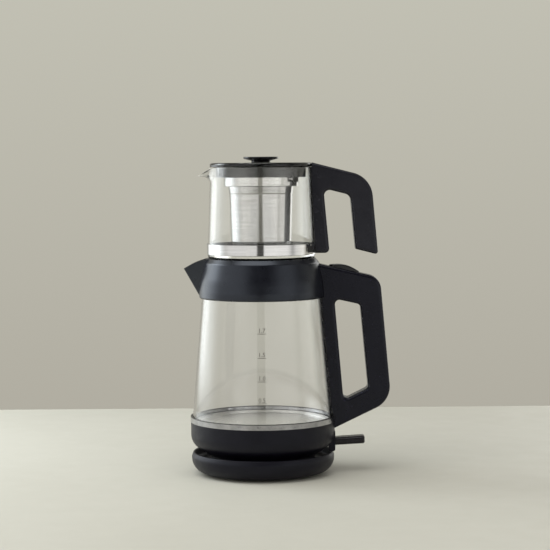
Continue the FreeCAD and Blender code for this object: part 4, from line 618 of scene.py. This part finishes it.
wall = tone_by_direction("Z", low=-0.14, high=0.10,
                         low_tone=(0.435, 0.415, 0.355), high_tone=(0.54, 0.53, 0.455))
mirrored = tone_by_direction("Y", low=-0.35, high=0.25,
                             low_tone=(0.04, 0.04, 0.04), high_tone=(0.44, 0.43, 0.38))
even_tone = (0.42, 0.41, 0.39)
even = tree.nodes.new("ShaderNodeBackground")
even.inputs["Color"].default_value = (*even_tone, 1)
path = tree.nodes.new("ShaderNodeLightPath")
seen = tree.nodes.new("ShaderNodeMath")
seen.operation = "MAXIMUM"
tree.links.new(path.outputs["Is Camera Ray"], seen.inputs[0])
tree.links.new(path.outputs["Is Transmission Ray"], seen.inputs[1])
unseen = choose(path.outputs["Is Glossy Ray"], even.outputs[0], mirrored)
out = tree.nodes.new("ShaderNodeOutputWorld")
tree.links.new(choose(seen.outputs[0], unseen, wall), out.inputs["Surface"])


daylight = (0.90, 0.96, 1)
lamplight = (1, 1, 0.98)
lamp_target = Vector((0, 0, 0.2))


def soft_box(name, bearing, distance, height, width, tall, glow, colour,
             near=0.3, far=0.3, end=0.3):
    light = bpy.data.lights.new(name, "AREA")
    light.shape = "RECTANGLE"
    light.size = width
    light.size_y = tall
    light.color = colour
    light.energy = glow * math.pi * width * tall
    light.use_nodes = True
    tree = light.node_tree
    place = tree.nodes.new("ShaderNodeNewGeometry")
    split = tree.nodes.new("ShaderNodeSeparateXYZ")
    tree.links.new(place.outputs["Parametric"], split.inputs[0])
    strength = None
    for side, rim, fade in (("X", 0, near), ("X", 1, -far), ("Y", 0, end), ("Y", 1, -end)):
        edge = tree.nodes.new("ShaderNodeMapRange")
        edge.interpolation_type = "SMOOTHSTEP"
        edge.inputs["From Min"].default_value = rim
        edge.inputs["From Max"].default_value = rim + fade
        tree.links.new(split.outputs[side], edge.inputs["Value"])
        if strength:
            both = tree.nodes.new("ShaderNodeMath")
            both.operation = "MULTIPLY"
            tree.links.new(strength, both.inputs[0])
            tree.links.new(edge.outputs["Result"], both.inputs[1])
            strength = both.outputs[0]
        else:
            strength = edge.outputs["Result"]
    tree.links.new(strength, tree.nodes["Emission"].inputs["Strength"])
    lamp = bpy.data.objects.new(name, light)
    bpy.context.scene.collection.objects.link(lamp)
    angle = math.radians(bearing)
    lamp.location = (distance * math.sin(angle), -distance * math.cos(angle), height)
    aim = lamp_target - Vector(lamp.location)
    lamp.rotation_euler = aim.to_track_quat("-Z", "Y").to_euler()
    lamp.visible_camera = False


soft_box("left_high_box", bearing=-108, distance=0.95, height=0.68, width=0.95, tall=0.8,
         glow=7.0, colour=daylight, near=0.4, far=0.4, end=0.4)
soft_box("left_low_box", bearing=-114, distance=0.9, height=0.22, width=1.45, tall=0.5,
         glow=2.1, colour=daylight, near=0.4, far=0.5)
soft_box("front_left_low_box", bearing=-50.5, distance=1.3, height=0.22, width=2.4, tall=0.46,
         glow=0.82, colour=lamplight, near=0.35, far=0.03, end=0.35)
soft_box("front_right_low_box", bearing=40.5, distance=1.3, height=0.22, width=1.9, tall=0.46,
         glow=0.96, colour=lamplight, near=0.03, far=0.35, end=0.35)
soft_box("front_left_high_box", bearing=-55, distance=2.2, height=1.05, width=3.6, tall=1.8,
         glow=0.95, colour=lamplight, near=0.35, far=0.35)
soft_box("front_right_high_box", bearing=50, distance=2.2, height=1.05, width=2.6, tall=1.8,
         glow=0.75, colour=lamplight, near=0.35, far=0.35)
soft_box("right_low_box", bearing=86, distance=1.3, height=0.2, width=1.0, tall=0.4,
         glow=0.72, colour=lamplight)
soft_box("right_back_box", bearing=146, distance=0.95, height=0.35, width=0.5, tall=1.0,
         glow=1.2, colour=lamplight)
soft_box("top_box", bearing=-30, distance=0.5, height=1.5, width=1.5, tall=1.5,
         glow=2.5, colour=lamplight, near=0.2, far=0.2, end=0.2)


# ---- Camera ---------------------------------------------------------------------------------
# A long lens two metres away, at the height of the teapot's lid. It is tipped slightly down
# and rolled by under half a degree.

lens_length = 118.7
camera_place = (0.016, -2.049, 0.351)
camera_dip = 3.52
camera_roll = 0.43

camera_data = bpy.data.cameras.new("camera")
camera_data.lens = lens_length
camera = bpy.data.objects.new("camera", camera_data)
bpy.context.scene.collection.objects.link(camera)
camera.location = camera_place
camera.rotation_euler = (math.radians(90 - camera_dip), math.radians(camera_roll), 0)
bpy.context.scene.camera = camera
bpy.context.scene.view_settings.view_transform = "Standard"
